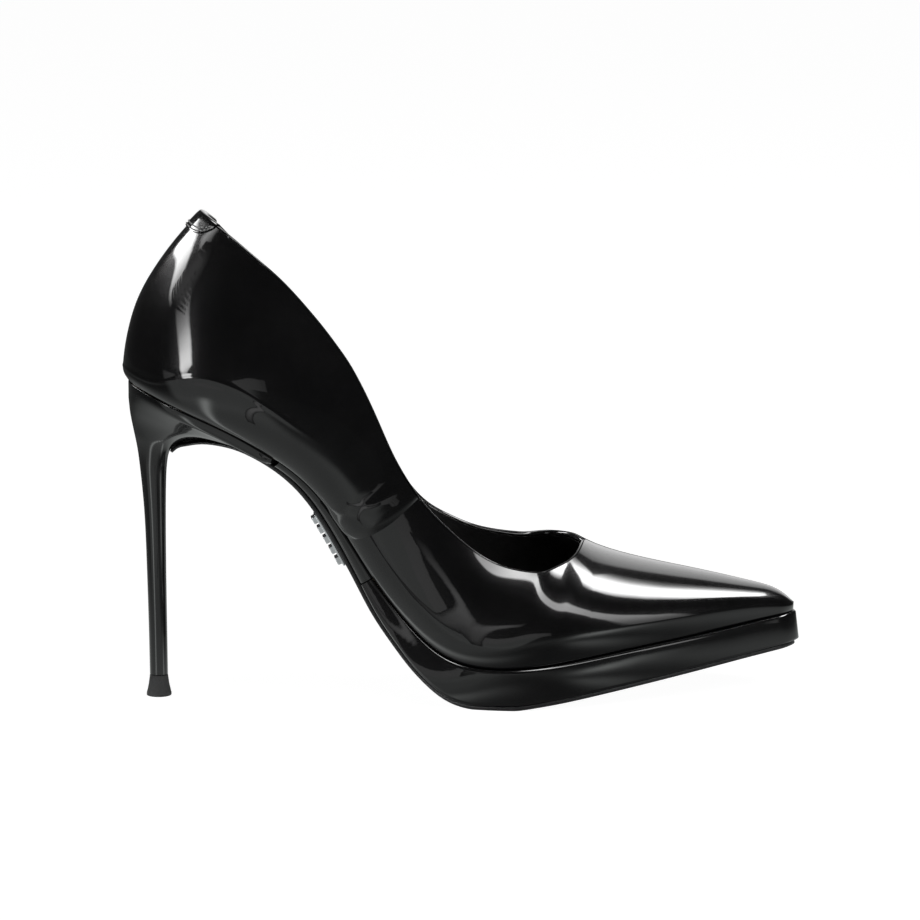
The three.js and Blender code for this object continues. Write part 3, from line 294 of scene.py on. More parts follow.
# ---------- edges drawn on the last ----------
outer_topline = spline([
    (BACK_X, 0.985), (-103, 0.982), (-98, 0.977), (-93.6, 0.972), (-88.6, 0.968),
    (-83, 0.959), (-78, 0.946), (-73.3, 0.932), (-68.8, 0.916), (-64.9, 0.897),
    (-60.8, 0.873), (-57.5, 0.84), (-54.2, 0.801), (-50.1, 0.748), (-46.1, 0.697),
    (-42.1, 0.656), (-37.6, 0.633), (-33.9, 0.626), (-29.6, 0.624), (-23, 0.634),
    (-15, 0.645), (-5, 0.637), (11.8, 0.623), (17.3, 0.632), (22, 0.662),
    (26, 0.695), (29.5, 0.745), (32.5, 0.812), (35, 0.9),
], 1.5)
inner_topline = spline([
    (BACK_X, 0.985), (-106, 0.963), (-100, 0.938), (-88, 0.905), (-77, 0.862),
    (-68, 0.825), (-60, 0.775), (-53, 0.713), (-46, 0.652), (-40, 0.612),
    (-31.3, 0.591), (-24, 0.604), (-16.4, 0.646), (-8, 0.675), (5.5, 0.696),
    (16, 0.712), (22, 0.748), (27, 0.788), (31, 0.838), (34, 0.9), (35.5, 0.945),
], 1.5)
seam_lean = spline([(0, -42.2), (0.2, -39.6), (0.5, -35.9), (0.8, -33.1), (1, -31.3)])


def topline(side, X):
    side, X = np.broadcast_arrays(side, X)
    edge = np.where(side < 0, outer_topline(X), inner_topline(X))
    rise = round_end((X - 30) / (THROAT_X - 30), 1)
    closing = mix(edge, 1, 1 - np.sqrt(np.maximum(1 - rise**3, 0)))
    return np.where(X < 30, edge, closing)


# ---------- mesh building ----------
def new_mesh(name, points, faces):
    mesh = bpy.data.meshes.new(name)
    mesh.from_pydata([tuple(p) for p in points], [], faces)
    return mesh


def add_object(name, data):
    obj = bpy.data.objects.new(name, data)
    bpy.context.collection.objects.link(obj)
    return obj


def mesh_object(name, points, faces, sharp=40.0):
    """one closed, outward facing, smooth shaded mesh, from points in millimetres"""
    mesh = new_mesh(name, place(points), faces)
    work = bmesh.new()
    work.from_mesh(mesh)
    bmesh.ops.remove_doubles(work, verts=work.verts, dist=2e-6)
    bmesh.ops.recalc_face_normals(work, faces=work.faces)
    if work.calc_volume(signed=True) < 0:
        bmesh.ops.reverse_faces(work, faces=work.faces)
    work.to_mesh(mesh)
    work.free()
    mesh.shade_smooth()
    mesh.set_sharp_from_angle(angle=math.radians(sharp))
    return add_object(name, mesh)


def grid_faces(columns, rows, start=0, wrap_rows=False):
    faces = []
    across = rows if wrap_rows else rows - 1
    for i in range(columns - 1):
        for j in range(across):
            k = (j + 1) % rows
            a = start + i * rows
            faces.append((a + j, a + rows + j, a + rows + k, a + k))
    return faces


def tube_faces(columns, rows, capped=True):
    """faces round a loft of closed rings, and over both its ends if capped"""
    faces = grid_faces(columns, rows, 0, True)
    if capped:
        faces.append(tuple(range(rows)))
        faces.append(tuple(range((columns - 1) * rows, columns * rows))[::-1])
    return faces


def shell_object(name, outer, inner, patches, sharp=40.0):
    """outer and inner skins of matching points, joined round every open edge"""
    n = len(outer)
    keys = np.round(place(outer) * 2e5).astype(int)
    seen = {}
    same = [seen.setdefault(tuple(k), i) for i, k in enumerate(keys)]
    skin = []
    for face in patches:
        kept = []
        for i in (same[i] for i in face):
            if i not in kept:
                kept.append(i)
        if len(kept) > 2:
            skin.append(tuple(kept))
    open_edges = {}
    for face in skin:
        for a, b in zip(face, face[1:] + face[:1]):
            if (b, a) in open_edges:
                del open_edges[(b, a)]
            else:
                open_edges[(a, b)] = True
    faces = list(skin)
    faces += [tuple(i + n for i in reversed(f)) for f in skin]
    faces += [(b, a, a + n, b + n) for a, b in open_edges]
    return mesh_object(name, np.concatenate([outer, inner]), faces, sharp)


def loft_object(name, rings, sharp=40.0, capped=True):
    """rings of equal count joined in turn, with flat ends if capped"""
    rings = np.asarray(rings, float)
    faces = tube_faces(*rings.shape[:2], capped)
    return mesh_object(name, rings.reshape(-1, 3), faces, sharp)


def turned_object(name, profile, x, turns, sharp):
    """profile of (radius, height) turned about the upright line at x"""
    rings = []
    for i in range(turns):
        a = 2 * math.pi * i / turns
        rings.append([(x + r * math.cos(a), r * math.sin(a), z) for r, z in profile])
    rings.append(rings[0])
    return loft_object(name, rings, sharp, False)


# ---------- the upper ----------
def counter_zone(X, v, top):
    """1 where the heel counter lies between leather and lining, 0 away from it"""
    return (1 - smooth(-66, -58, X)) * (1 - smooth(0.74, 0.86, v / top))


def lining_outer(side, X, v, along=None):
    zone = np.maximum(counter_zone(X, v, topline(side, X)), smooth(74, 82, X))
    return LEATHER + GAP + zone * (STIFFENER + GAP)


def quarter_spots(side, along, up):
    """X and v of a quarter, along from the back seam to the side seam"""
    seam = seam_lean(up) - SEAM_GAP / 2
    far = np.sqrt(seam - BACK_X)
    X = BACK_X + (far * mix(BACK_SEAM_SHARE, 1, along)) ** 2
    return X, up * topline(side, X)


def quarter_object(name, side, depth_out, depth_in, columns, rows):
    along = np.linspace(0, 1, columns)
    along = np.sort(np.concatenate([along, [0.955, 0.965, 0.975, 0.985, 0.993, 0.997]]))
    up = np.linspace(0, 1, rows)
    A, U = np.meshgrid(along, up, indexing="ij")
    X, v = quarter_spots(side, A, U)
    S = np.full_like(X, side)
    outer = in_last(S, X, v, depth_out(S, X, v, A)).reshape(-1, 3)
    inner = in_last(S, X, v, depth_in(S, X, v, A)).reshape(-1, 3)
    return shell_object(name, outer, inner, grid_faces(len(along), rows))


def vamp_object(name, depth_out, depth_in, wing, fore, rows, fore_end=1.0):
    outer = []
    inner = []
    faces = []
    for side in (-1, 1):
        up = np.linspace(0, 1, rows)
        start = sum(len(p) for p in outer)
        i = np.arange(wing)[:, None] / wing
        far = seam_lean(up)[None, :] + SEAM_GAP / 2
        X_wing = mix(far, THROAT_X, 1 - (1 - i) ** 2)
        c = np.linspace(0, fore_end, fore)[:, None]
        reach = np.sin((math.pi / 2) * c) * 0.35 + c * 0.65
        X_fore = mix(THROAT_X, TOE_X, reach) + 0 * up[None, :]
        X = np.concatenate([X_wing, X_fore])
        top = np.concatenate([topline(side, X_wing), np.ones_like(X_fore)])
        v = up[None, :] * top
        S = np.full_like(X, side)
        outer.append(in_last(S, X, v, depth_out(S, X, v)).reshape(-1, 3))
        inner.append(in_last(S, X, v, depth_in(S, X, v)).reshape(-1, 3))
        patch = grid_faces(wing + fore, rows, start)
        faces += patch if side < 0 else [f[::-1] for f in patch]
    return shell_object(name, np.concatenate(outer), np.concatenate(inner), faces)


# a low fold where the quarter, pulled over the last, turns toward the sole
fold_level = spline([
    (BACK_X, 0.148), (-110, 0.15), (-104.8, 0.18), (-100.4, 0.24), (-95.9, 0.294), (-91, 0.32),
    (-85, 0.329), (-80, 0.326), (-68.6, 0.308), (-57, 0.318), (-47, 0.415), (-40, 0.487),
    (-35, 0.49), (-30, 0.485),
])
FOLD_HIGH = 0.16
FOLD_WIDE = 0.011
LIP_HIGH = 0.6


def leather_outer(side, X, v, along=None):
    """depth of the outer skin; a quarter ends in a raised, rounded lip at the side seam"""
    if along is None:
        return np.zeros_like(X)
    lip = smooth(0.955, 0.975, along) - 0.9 * np.clip((along - 0.985) / 0.015, 0, 1) ** 3
    fold = bell((v - fold_level(X)) / FOLD_WIDE) * (1 - smooth(-70, -55, X))
    fold = fold * (1 - smooth(0.93, 0.97, along))
    return -LIP_HIGH * lip - FOLD_HIGH * fold


def leather_inner(side, X, v, along=None):
    return np.full_like(X, LEATHER)


def lining_inner(side, X, v, along=None):
    return lining_outer(side, X, v) + LINING


quarter_out = quarter_object("quarter_outer", -1, leather_outer, leather_inner, 100, 150)
quarter_in = quarter_object("quarter_inner", 1, leather_outer, leather_inner, 100, 150)
vamp = vamp_object("vamp_leather", leather_outer, leather_inner, 60, 80, 44)
lining_out = quarter_object("quarter_lining_outer", -1, lining_outer, lining_inner, 60, 36)
lining_in = quarter_object("quarter_lining_inner", 1, lining_outer, lining_inner, 60, 36)
vamp_lining = vamp_object("vamp_lining_leather", lining_outer, lining_inner, 44, 40, 30, 0.74)

# ---------- rolled bead along the toplines ----------
EDGE_DEPTH = 1.1
BEAD_WIDE = 0.9
BEAD_TALL = 0.42
BEAD_SIDES = 16


def bead_object(name, side, X, v, way_out):
    middle = in_last(side, X, v, EDGE_DEPTH)
    run = unit(np.gradient(middle, axis=0))
    normal = last_normal(side, X, v)
    out = unit(np.cross(run, normal)) * way_out
    centre = middle + out * (SHOWN_GAP + BEAD_TALL)
    rings = []
    for k in range(BEAD_SIDES):
        a = 2 * math.pi * k / BEAD_SIDES
        rings.append(centre + normal * BEAD_WIDE * math.cos(a) + out * BEAD_TALL * math.sin(a))
    return loft_object(name, np.stack(rings, 1))


i = np.linspace(-0.995, 0.995, 241)
S = np.where(i < 0, -1, 1)
X = mix(seam_lean(1), THROAT_X, 1 - i**2)
vamp_bead = bead_object("vamp_topline_bead", S, X, topline(S, X), -1)

i = np.linspace(-1, 1, 242)
S = np.where(i < 0, -1, 1)
X, v = quarter_spots(S, np.abs(i), np.ones_like(i))
quarter_bead = bead_object("quarter_topline_bead", S, X, v, 1)

# ---------- sole line and underside ----------
under_z_raw = spline([
    (-99.9, 83.2), (-98, 85.6), (-95, 87.0), (-90.5, 87.9), (-84, 87.7), (-79, 86.7),
    (-72.6, 84.1), (-66.8, 80.7), (-59.7, 74.9), (-54.6, 69.0), (-50.5, 63.0), (-44, 51.8),
    (-38, 40.3), (-33.6, 31.7), (-26.4, 20.6), (-21.5, 14.0), (-16.4, 8.4), (-10.5, 3.5),
    (-4.5, 0.8), (2, -0.15), (8, -0.3), (14, -0.05), (20, 0.75), (28, 1.9), (41.4, 3.9),
    (58.5, 6.4), (75.9, 8.9), (93.8, 11.4), (112, 13.9), (115.5, 14.4),
])


def under_z(x):
    return np.maximum(under_z_raw(x), 0)


def slope_of(curve, x):
    return (curve(x + 0.1) - curve(x - 0.1)) / 0.2


def off_curve(curve, x, lift):
    """x and z at a height square to a curve of the side view"""
    slope = slope_of(curve, x)
    length = np.hypot(1, slope)
    return x - (slope / length) * lift, curve(x) + lift / length


def under_point(x, lift):
    return off_curve(under_z, x, lift)


def feather_point(X, lift):
    return off_curve(feather_z, X, lift)


def both_sides(profile):
    """rows of a profile down the outer side, then back up the inner side"""
    return [(-1, *row) for row in profile] + [(1, *row) for row in reversed(profile)]


sole_depth = spline([
    (-64, 4.6), (-55, 4.8), (-45, 5.2), (-36, 6.0), (-27, 7.4), (-16, 9.8), (-5, 12.6), (6, 13.6),
    (20, 13.6), (60, 12.6), (100, 12.0), (TOE_X, 11.7),
])


def under_x(X):
    slope = slope_of(feather_z, X)
    return X + (sole_depth(X) * slope) / np.hypot(1, slope)


# ---------- plates that follow the feather line: sock lining and foam pads ----------
def plate_half(side, X, inset):
    half = np.where(side < 0, outer_half(X), inner_half(X))
    return (half - inset) * end_round(X, inset)


def pad_object(name, start, end, half_at, low_at, thick_at, columns=40, rows=25, round_by=1.0):
    """closed form between two heights, crowned, with rounded edges"""
    s = 0.5 - 0.5 * np.cos(np.linspace(0, math.pi, columns))
    X = mix(start, end, s)[:, None]
    t = np.sin(np.linspace(-math.pi / 2, math.pi / 2, rows))[None, :]
    side = np.where(t < 0, -1, 1)
    Y = axis_y(X) + side * np.abs(t) * half_at(side, X)
    edge = (1 - np.abs(t) ** 10) ** 0.5 + 0 * X
    top_x, top_z = feather_point(X, low_at(X) + thick_at(X) * mix(1, edge, round_by))
    low_x, low_z = feather_point(X, low_at(X) + thick_at(X) * 0.5 * (1 - mix(1, edge, round_by)))
    upper = point(top_x, Y, top_z).reshape(-1, 3)
    lower = point(low_x, Y, low_z).reshape(-1, 3)
    return shell_object(name, upper, lower, grid_faces(columns, rows), 60)


SOCK_LOW = BOARD_HIGH + GAP
SOCK_END_X = 100
HEEL_PAD = 1.6
HEEL_PAD_END_X = -67
BALL_PAD = 1.3
BALL_PAD_FROM_X = -11
BALL_PAD_TO_X = 51
PAD_INSET = 5


def sock_low(X):
    heel = (HEEL_PAD + GAP) * (1 - smooth(-66, -58, X))
    ball = (BALL_PAD + GAP) * smooth(-22, -14, X) * (1 - smooth(55, 64, X))
    return SOCK_LOW + heel + ball


def sock_half(side, X):
    """half width out to the lining, which leans outward as it rises"""
    height = sock_low(X) + SOCK
    a = np.arccos(np.clip(1 - height / widest_height(X), -1, 1))
    stiff = 1 - smooth(-66, -58, X)
    to_wall = plate_half(side, X, 2.1 + stiff) + flare(X) * np.sin(a)
    middle = smooth(-100, -85, X) * (1 - smooth(50, 70, X))
    inset = mix(1.4, 2.6, smooth(-95, -60, X))
    return mix(plate_half(side, X, inset), to_wall, middle) * round_end((SOCK_END_X - X) / 7, 2)


def heel_pad_half(side, X):
    return plate_half(side, X, PAD_INSET) * round_end((HEEL_PAD_END_X - X) / 10, 2)


def ball_pad_half(side, X):
    ends = round_end((X - BALL_PAD_FROM_X) / 14, 2) * round_end((BALL_PAD_TO_X - X) / 14, 2)
    return plate_half(side, X, PAD_INSET) * ends


def steady(value):
    return lambda X: value + 0 * X


sock = pad_object(
    "sock_lining_leather", BACK_X + 1.4, SOCK_END_X, sock_half, sock_low, steady(SOCK), 90, 27, 0.5,
)
heel_pad = pad_object(
    "heel_pad_foam", BACK_X + PAD_INSET, HEEL_PAD_END_X,
    heel_pad_half, steady(SOCK_LOW), steady(HEEL_PAD),
)
ball_pad = pad_object(
    "forefoot_pad_foam", BALL_PAD_FROM_X, BALL_PAD_TO_X,
    ball_pad_half, steady(SOCK_LOW), steady(BALL_PAD),
)

# ---------- platform ----------
platform_outer = spline([
    (-33, 23.3), (-22, 27.6), (-10, 34.0), (0, 38.9), (18, 43.4), (40, 39.9), (60, 32.4),
    (80, 23.4), (100, 13.2), (PLATFORM_TOE_X, 5.6),
], 2.0)
platform_inner = spline([
    (-33, 16.4), (-22, 18.6), (-10, 22.6), (0, 26.9), (18, 33.4), (40, 34.4), (60, 28.9),
    (80, 20.9), (100, 12.0), (PLATFORM_TOE_X, 5.0),
], 2.0)


def rounded_profile(top_radius, low_radius, depth, steps=6):
    """[inset, level] pairs down one side, with quarter round corners"""
    pairs = []
    for k in range(steps + 1):
        a = (math.pi / 2) * (1 - k / steps)
        pairs.append((top_radius * (1 - math.cos(a)), top_radius * (1 - math.sin(a)) / depth))
    for k in range(steps + 1):
        a = (math.pi / 2) * (k / steps)
        pairs.append((low_radius * (1 - math.cos(a)), 1 - low_radius * (1 - math.sin(a)) / depth))
    return pairs


def toward_tip(tip_x, count):
    """stations from TAPER_X to the tip, closer and closer"""
    return TAPER_X + (tip_x - TAPER_X) * np.sin(np.linspace(0, math.pi / 2, count))


def wrap_rings(stations, outer, inner, profile):
    """rings of a wrap that reaches from the feather line down to the outsole"""
    top_x, top_z = feather_point(stations, -SHOWN_GAP)
    low_x, low_z = under_point(under_x(stations), OUTSOLE + SHOWN_GAP)
    rings = []
    for side, inset, level in both_sides(profile):
        half = np.where(side < 0, outer(stations), inner(stations)) - inset
        half = half * round_end((PLATFORM_TIP_X - stations) / 7, TOE_POWER)
        slide = inset * (level < 0.5) * smooth(TAPER_X, PLATFORM_TOE_X, stations)
        x = mix(top_x, low_x, level) - slide
        rings.append(point(x, axis_y(stations) + side * half, mix(top_z, low_z, level)))
    return np.stack(rings, 1)


stations = np.linspace(PLATFORM_BACK_X, TAPER_X, 90)[:-1]
stations = np.concatenate([stations, toward_tip(PLATFORM_TIP_X, 26)])
profile = rounded_profile(1.3, 1.0, 11.5)
rings = wrap_rings(stations, platform_outer, platform_inner, profile)
platform = loft_object("platform_wrap", rings, sharp=35)

# ---------- waist of the sole ----------
waist_outer = spline([(-66, 22.4), (-60, 21.8), (-45, 20.8), (-32, 22.6)])
waist_inner = spline([(-66, 20.6), (-60, 19.2), (-45, 16.0), (-32, 15.8)])

stations = np.linspace(WAIST_BACK_X - 0.3, PLATFORM_BACK_X - 0.1, 40)
profile = [(0.25, 0), (0, 0.12), (0.05, 0.4), (0.4, 0.7), (1.1, 0.9), (2.2, 1)]
rings = wrap_rings(stations, waist_outer, waist_inner, profile)
waist = loft_object("waist_wrap", rings)

# ---------- outsole ----------
sole_outer = spline([
    (TONGUE_X, 5.2), (-94, 7.5), (-85, 11.5), (-75, 15.5), (-60, 18.6), (-45, 18.2), (-33, 20.2),
    (-22, 25.5), (-10, 33.0), (0, 38.2), (18, 42.8), (40, 39.3), (60, 31.8), (80, 22.8),
    (100, 12.7), (PLATFORM_TOE_X, 5.4),
])
sole_inner = spline([
    (TONGUE_X, 5.2), (-94, 7.5), (-85, 11.5), (-75, 14.5), (-60, 16.0), (-45, 13.4), (-33, 14.0),
    (-22, 16.5), (-10, 21.8), (0, 26.3), (18, 32.8), (40, 33.8), (60, 28.3), (80, 20.3),
    (100, 11.6), (PLATFORM_TOE_X, 4.8),
])


def sole_thick(x):
    """the leatherboard is skived thin where it runs under the heel"""
    return mix(0.85, OUTSOLE, smooth(-92, -58, x))


def sole_rings(stations):
    thick = sole_thick(stations)
    profile = [(0.4, thick), (0.1, thick - 0.12), (0, thick - 0.35), (0, 0.35 + 0 * thick)]
    profile += [(0.1, 0.12 + 0 * thick), (0.4, 0 * thick)]
    rings = []
    for side, inset, lift in both_sides(profile):
        half = np.where(side < 0, sole_outer(stations), sole_inner(stations)) - inset
        half = half * round_end((SOLE_TIP_X - stations) / 7, TOE_POWER)
        half = half * round_end((stations - TONGUE_X) / 5, 2)
        x, z = under_point(stations, lift)
        rings.append(point(x, axis_y(stations) + side * half, z))
    return np.stack(rings, 1)


stations = np.concatenate([
    TONGUE_X + 8 * (1 - np.cos(np.linspace(0, math.pi / 2, 14)))[:-1],
    np.linspace(TONGUE_X + 8, TAPER_X, 110)[:-1],
    toward_tip(SOLE_TIP_X, 22),
])
outsole = loft_object("outsole_leatherboard", sole_rings(stations), sharp=50)

# ---------- heel ----------
# a row of the heel is its back x and z, front x and z, half width, and its outline from 0 for an
# oval to 1 for the seat's horseshoe
def cup_row(back_x, back_z, x, half, opened):
    """a row of the cup, whose front lies on the outsole's tongue"""
    x = np.array(x, float)
    fx, fz = under_point(x, sole_thick(x) + SHOWN_GAP)
    return (back_x, back_z, float(fx), float(fz), half, opened)


seat_front_x, seat_front_z = [float(q) for q in feather_point(np.array(-63.9), -SHOWN_GAP)]
heel_rows = [
    (BACK_X - 0.1, float(feather_z(BACK_X)) - GAP, seat_front_x, seat_front_z, 23.1, 1.0),
    cup_row(-113.9, 107.4, -66.2, 22.9, 0.95),
    cup_row(-113.9, 105.2, -72, 21.6, 0.85),
    cup_row(-113.9, 103.0, -78.5, 19.0, 0.7),
    cup_row(-113.7, 100.6, -85, 15.6, 0.45),
    cup_row(-113.4, 97.8, -91, 12.0, 0.3),
    cup_row(-112.8, 94.4, -95.8, 8.8, 0.12),
    (-112.0, 90.4, -99.7, 85.4, 6.4, 0),
    (-111.1, 85.6, -101.0, 81.2, 4.9, 0),
    (-110.3, 79, -101.4, 76.6, 4.1, 0),
    (-109.1, 65, -101.7, 65, 3.5, 0),
    (-108.4, 45, -101.8, 45, 3.2, 0),
    (-108.0, 25, -101.7, 25, 3.05, 0),
    (-107.8, TIP_HEIGHT + GAP, -101.6, TIP_HEIGHT + GAP, 3.0, 0),
]


def heel_rings(levels, facets):
    rows = np.array(heel_rows, float)
    gaps = np.hypot(np.diff(rows[:, 0]), np.diff(rows[:, 1]))
    gaps = gaps + np.hypot(np.diff(rows[:, 2]), np.diff(rows[:, 3])) * 0.5
    s = np.concatenate([[0], np.cumsum(np.sqrt(gaps))])
    columns = [spline(list(zip(s, rows[:, c]))) for c in range(6)]
    rings = []
    f = 0.5 - 0.5 * np.cos(np.linspace(0, math.pi, facets + 1))
    rolled = s[1] * np.array([0, 0.02, 0.06, 0.12, 0.2])
    for level in np.concatenate([rolled, np.linspace(0.3 * s[1], s[-1], levels)]):
        bx, bz, fx, fz, wide, opened = [float(c(level)) for c in columns]
        opened = min(max(opened, 0), 1)
        turn_in = 0.35 * max(0, 1 - level / (0.2 * s[1])) ** 2
        length = math.hypot(fx - bx, fz - bz)
        bx += turn_in
        wide -= turn_in
        back_long = mix(0.5, BACK_ROUND / length, opened)
        front_long = mix(0.5, 2.5 / length, opened)
        half = wide * round_end(f / back_long, BACK_POWER) * round_end((1 - f) / front_long, 2.1)
        x = mix(bx, fx, f)
        z = mix(bz, fz, f)
        # the seat edge follows the feather line, and the rings under it lose that bend
        weight = max(0, 1 - level / s[4]) ** 2
        seat_z = feather_z(x) - GAP * 1.1
        chord = mix(float(feather_z(BACK_X)) - GAP * 1.1, seat_z[-1], f)
        z = z + (seat_z - chord) * weight
        outer = point(x, -half, z)
        inner = point(x, half, z)[::-1][1:-1]
        rings.append(np.concatenate([outer, inner]))
    return np.stack(rings)


rings = heel_rings(90, 28)
count = rings.shape[1]
faces = grid_faces(len(rings), count, 0, True)
middle = count // 2
for i in range(middle):
    faces.append((i, i + 1, (count - i - 1) % count, (count - i) % count))
faces.append(tuple(range((len(rings) - 1) * count, len(rings) * count)))
heel = mesh_object("heel_wrap", rings.reshape(-1, 3), faces, 45)

# ---------- heel tip ----------
profile = [(0, 0), (TIP_BASE_RADIUS - 0.3, 0), (TIP_BASE_RADIUS - 0.05, 0.12)]
profile += [(TIP_BASE_RADIUS, 0.4), (TIP_BASE_RADIUS, 1.0)]
for k in range(9):
    t = k / 8
    waist_in = 0.12 * math.sin(math.pi * t)
    radius = mix(TIP_BASE_RADIUS - 0.08, TIP_TOP_RADIUS, t) - waist_in
    profile.append((radius, mix(1.2, TIP_HEIGHT - 0.25, t)))
profile += [(TIP_TOP_RADIUS - 0.05, TIP_HEIGHT), (1.5, TIP_HEIGHT), (1.5, 2.8), (2.5, 2.8)]
profile += [(2.5, 1.2), (0, 1.2)]
tip = turned_object("heel_tip_rubber", profile, SHAFT_X, 56, 30)

# ---------- metal ornament on the underside of the waist ----------
ORNAMENT_FROM = -50.8
ORNAMENT_TO = -40.8
ORNAMENT_Y = -5.0


def slab(start, end, half_wide, low, high, steps):
    """points and faces of a bar that follows the underside"""
    x = np.linspace(start, end, steps + 1)
    ring = []
    for way, depth in ((-1, low), (-1, high), (1, high), (1, low)):
        bar_x, bar_z = under_point(x, -depth)
        ring.append(point(bar_x, ORNAMENT_Y + way * half_wide, bar_z))
    return np.stack(ring, 1).reshape(-1, 3), tube_faces(steps + 1, 4)


points, faces = slab(ORNAMENT_FROM, ORNAMENT_TO, 3.4, 0.3, 1.1, 10)
for k in range(5):
    ends = [mix(ORNAMENT_FROM, ORNAMENT_TO, (k + share) / 5) for share in (0.12, 0.78)]
    more, more_faces = slab(*ends, 2.7, 0.9, 2.5, 2)
    faces += [tuple(i + len(points) for i in f) for f in more_faces]
    points = np.concatenate([points, more])
ornament = mesh_object("sole_ornament_bar", points, faces, 30)
bevel = ornament.modifiers.new("softened_edges", "BEVEL")
bevel.width = 0.22 * MM
bevel.segments = 2
bevel.limit_method = "ANGLE"

# ---------- small tab folded over the back peak ----------
TAB_REACH = 2.3
TAB = 0.5
TAB_OFF = 0.05
TAB_DROP = 0.08
bead_rise = SHOWN_GAP + 0.1 + 2 * BEAD_TALL


def tab_drop(q):
    """how far in v the tab's rounded lower edge lies below the topline"""
    return TAB_DROP * (1 - (abs(q) / TAB_REACH) ** 6) + 0.01


def tab_ring(q):
    side = -1 if q < 0 else 1
    X = np.array(BACK_X + q * q)
    S = np.array(float(side))
    edge = topline(S, X)
    up = up_last(S, X, edge)
    normal = last_normal(S, X, edge)
    near = []
    for f in np.linspace(1, 0.15, 10):
        v = edge - tab_drop(q) * f
        n = last_normal(S, X, v)
        near.append((last_point(S, X, v) + n * TAB_OFF, n))
    top = last_point(S, X, edge)
    outside = EDGE_DEPTH - BEAD_WIDE - 0.12
    inside = EDGE_DEPTH + BEAD_WIDE + 0.12
    reach = (inside - outside) / 2
    for k in range(11):
        a = math.pi * k / 10
        rise = 0.4 + (bead_rise - 0.4) * math.sin(a)
        depth = EDGE_DEPTH - reach * math.cos(a)
        n = unit(normal * math.cos(a) + up * math.sin(a))
        near.append((top + up * rise - normal * depth, n))
    near.append((top - up * 3.0 - normal * inside, -normal))
    far = [p + n * TAB for p, n in near]
    return [p for p, n in near] + far[::-1]


tab = loft_object("back_tab_leather", [tab_ring(q) for q in np.linspace(-TAB_REACH, TAB_REACH, 41)])


# ---------- stitches on the tab ----------
THREAD_RADIUS = 0.24
STITCH = 1.45
STITCH_RINGS = 7
STITCH_SIDES = 8


def stitch(a, b, normal):
    """points and faces of a short thread that dips into the leather at both ends"""
    rings = []
    run = unit(b - a)
    across = unit(np.cross(run, normal))
    length = np.linalg.norm(b - a)
    for k in range(STITCH_RINGS):
        t = k / (STITCH_RINGS - 1)
        r = THREAD_RADIUS * (1 - (2 * t - 1) ** 4) ** 0.5 + 0.01
        centre = a + run * length * t + normal * (THREAD_RADIUS * 0.6 * math.sin(math.pi * t))
        ring = []
        for j in range(STITCH_SIDES):
            w = 2 * math.pi * j / STITCH_SIDES
            ring.append(centre + normal * r * math.cos(w) + across * r * math.sin(w))
        rings.append(ring)
    return np.array(rings).reshape(-1, 3), tube_faces(STITCH_RINGS, STITCH_SIDES)


points = np.zeros((0, 3))
faces = []
for inset in (0.009, 0.026):
    walk = []
    for q in np.linspace(-TAB_REACH + 0.1, TAB_REACH - 0.1, 200):
        side = np.array(-1.0 if q < 0 else 1.0)
        X = np.array(BACK_X + q * q)
        v = topline(side, X) - tab_drop(q) + inset
        if v < topline(side, X) - 0.004:
            n = last_normal(side, X, v)
            walk.append((last_point(side, X, v) + n * (TAB_OFF + TAB), n))
    steps = [np.linalg.norm(walk[i + 1][0] - walk[i][0]) for i in range(len(walk) - 1)]
    run = np.concatenate([[0], np.cumsum(steps)])
    stitches = int(run[-1] / STITCH)
    for k in range(stitches):
        ends = []
        for d in (k + 0.12, k + 0.88):
            i = min(int(np.searchsorted(run, d * run[-1] / stitches)), len(walk) - 1)
            ends.append(walk[i])
        more, more_faces = stitch(ends[0][0], ends[1][0], ends[0][1])
        faces += [tuple(i + len(points) for i in f) for f in more_faces]
        points = np.concatenate([points, more])
tab_stitches = mesh_object("back_tab_stitches", points, faces, 60)


# ---------- materials ----------
GRAIN = 0.9
GRAIN_DEPTH = 0.08


def shader_of(material):
    return material.node_tree.nodes["Principled BSDF"]


def new_material(name, color, roughness, metallic=0.0, coat=0.0, specular=0.5, coat_rough=0.03):
    material = bpy.data.materials.new(name)
    material.use_nodes = True
    shader = shader_of(material)
    shader.inputs["Base Color"].default_value = (*color, 1)
    shader.inputs["Roughness"].default_value = roughness
    shader.inputs["Metallic"].default_value = metallic
    shader.inputs["Coat Weight"].default_value = coat
    shader.inputs["Coat Roughness"].default_value = coat_rough
    shader.inputs["Specular IOR Level"].default_value = specular
    return material


def node(material, kind):
    return material.node_tree.nodes.new(kind)


def link(material, a, out, b, into):
    material.node_tree.links.new(a.outputs[out], b.inputs[into])


def texture_space(material, stretch=(1, 1, 1)):
    """object coordinates in millimetres"""
    coords = node(material, "ShaderNodeTexCoord")
    mapping = node(material, "ShaderNodeMapping")
    mapping.inputs["Scale"].default_value = [1000 * s for s in stretch]
    link(material, coords, "Object", mapping, "Vector")
    return mapping


def noise(material, space, size, detail, roughness=0.5):
    made = node(material, "ShaderNodeTexNoise")
    made.inputs["Scale"].default_value = 1.0 / size
    made.inputs["Detail"].default_value = detail
    made.inputs["Roughness"].default_value = roughness
    link(material, space, "Vector", made, "Vector")
    return made


def ramp(material, source, *stops):
    """colour that runs from one stop to the other with a texture's value"""
    made = node(material, "ShaderNodeValToRGB")
    for element, (place_at, color) in zip(made.color_ramp.elements, stops):
        element.position = place_at
        element.color = (*color, 1)
    link(material, source, "Fac", made, "Fac")
    return made


def to_range(material, source, low, high):
    made = node(material, "ShaderNodeMapRange")
    made.inputs["To Min"].default_value = low
    made.inputs["To Max"].default_value = high
    link(material, source, "Fac", made, "Value")
    return made


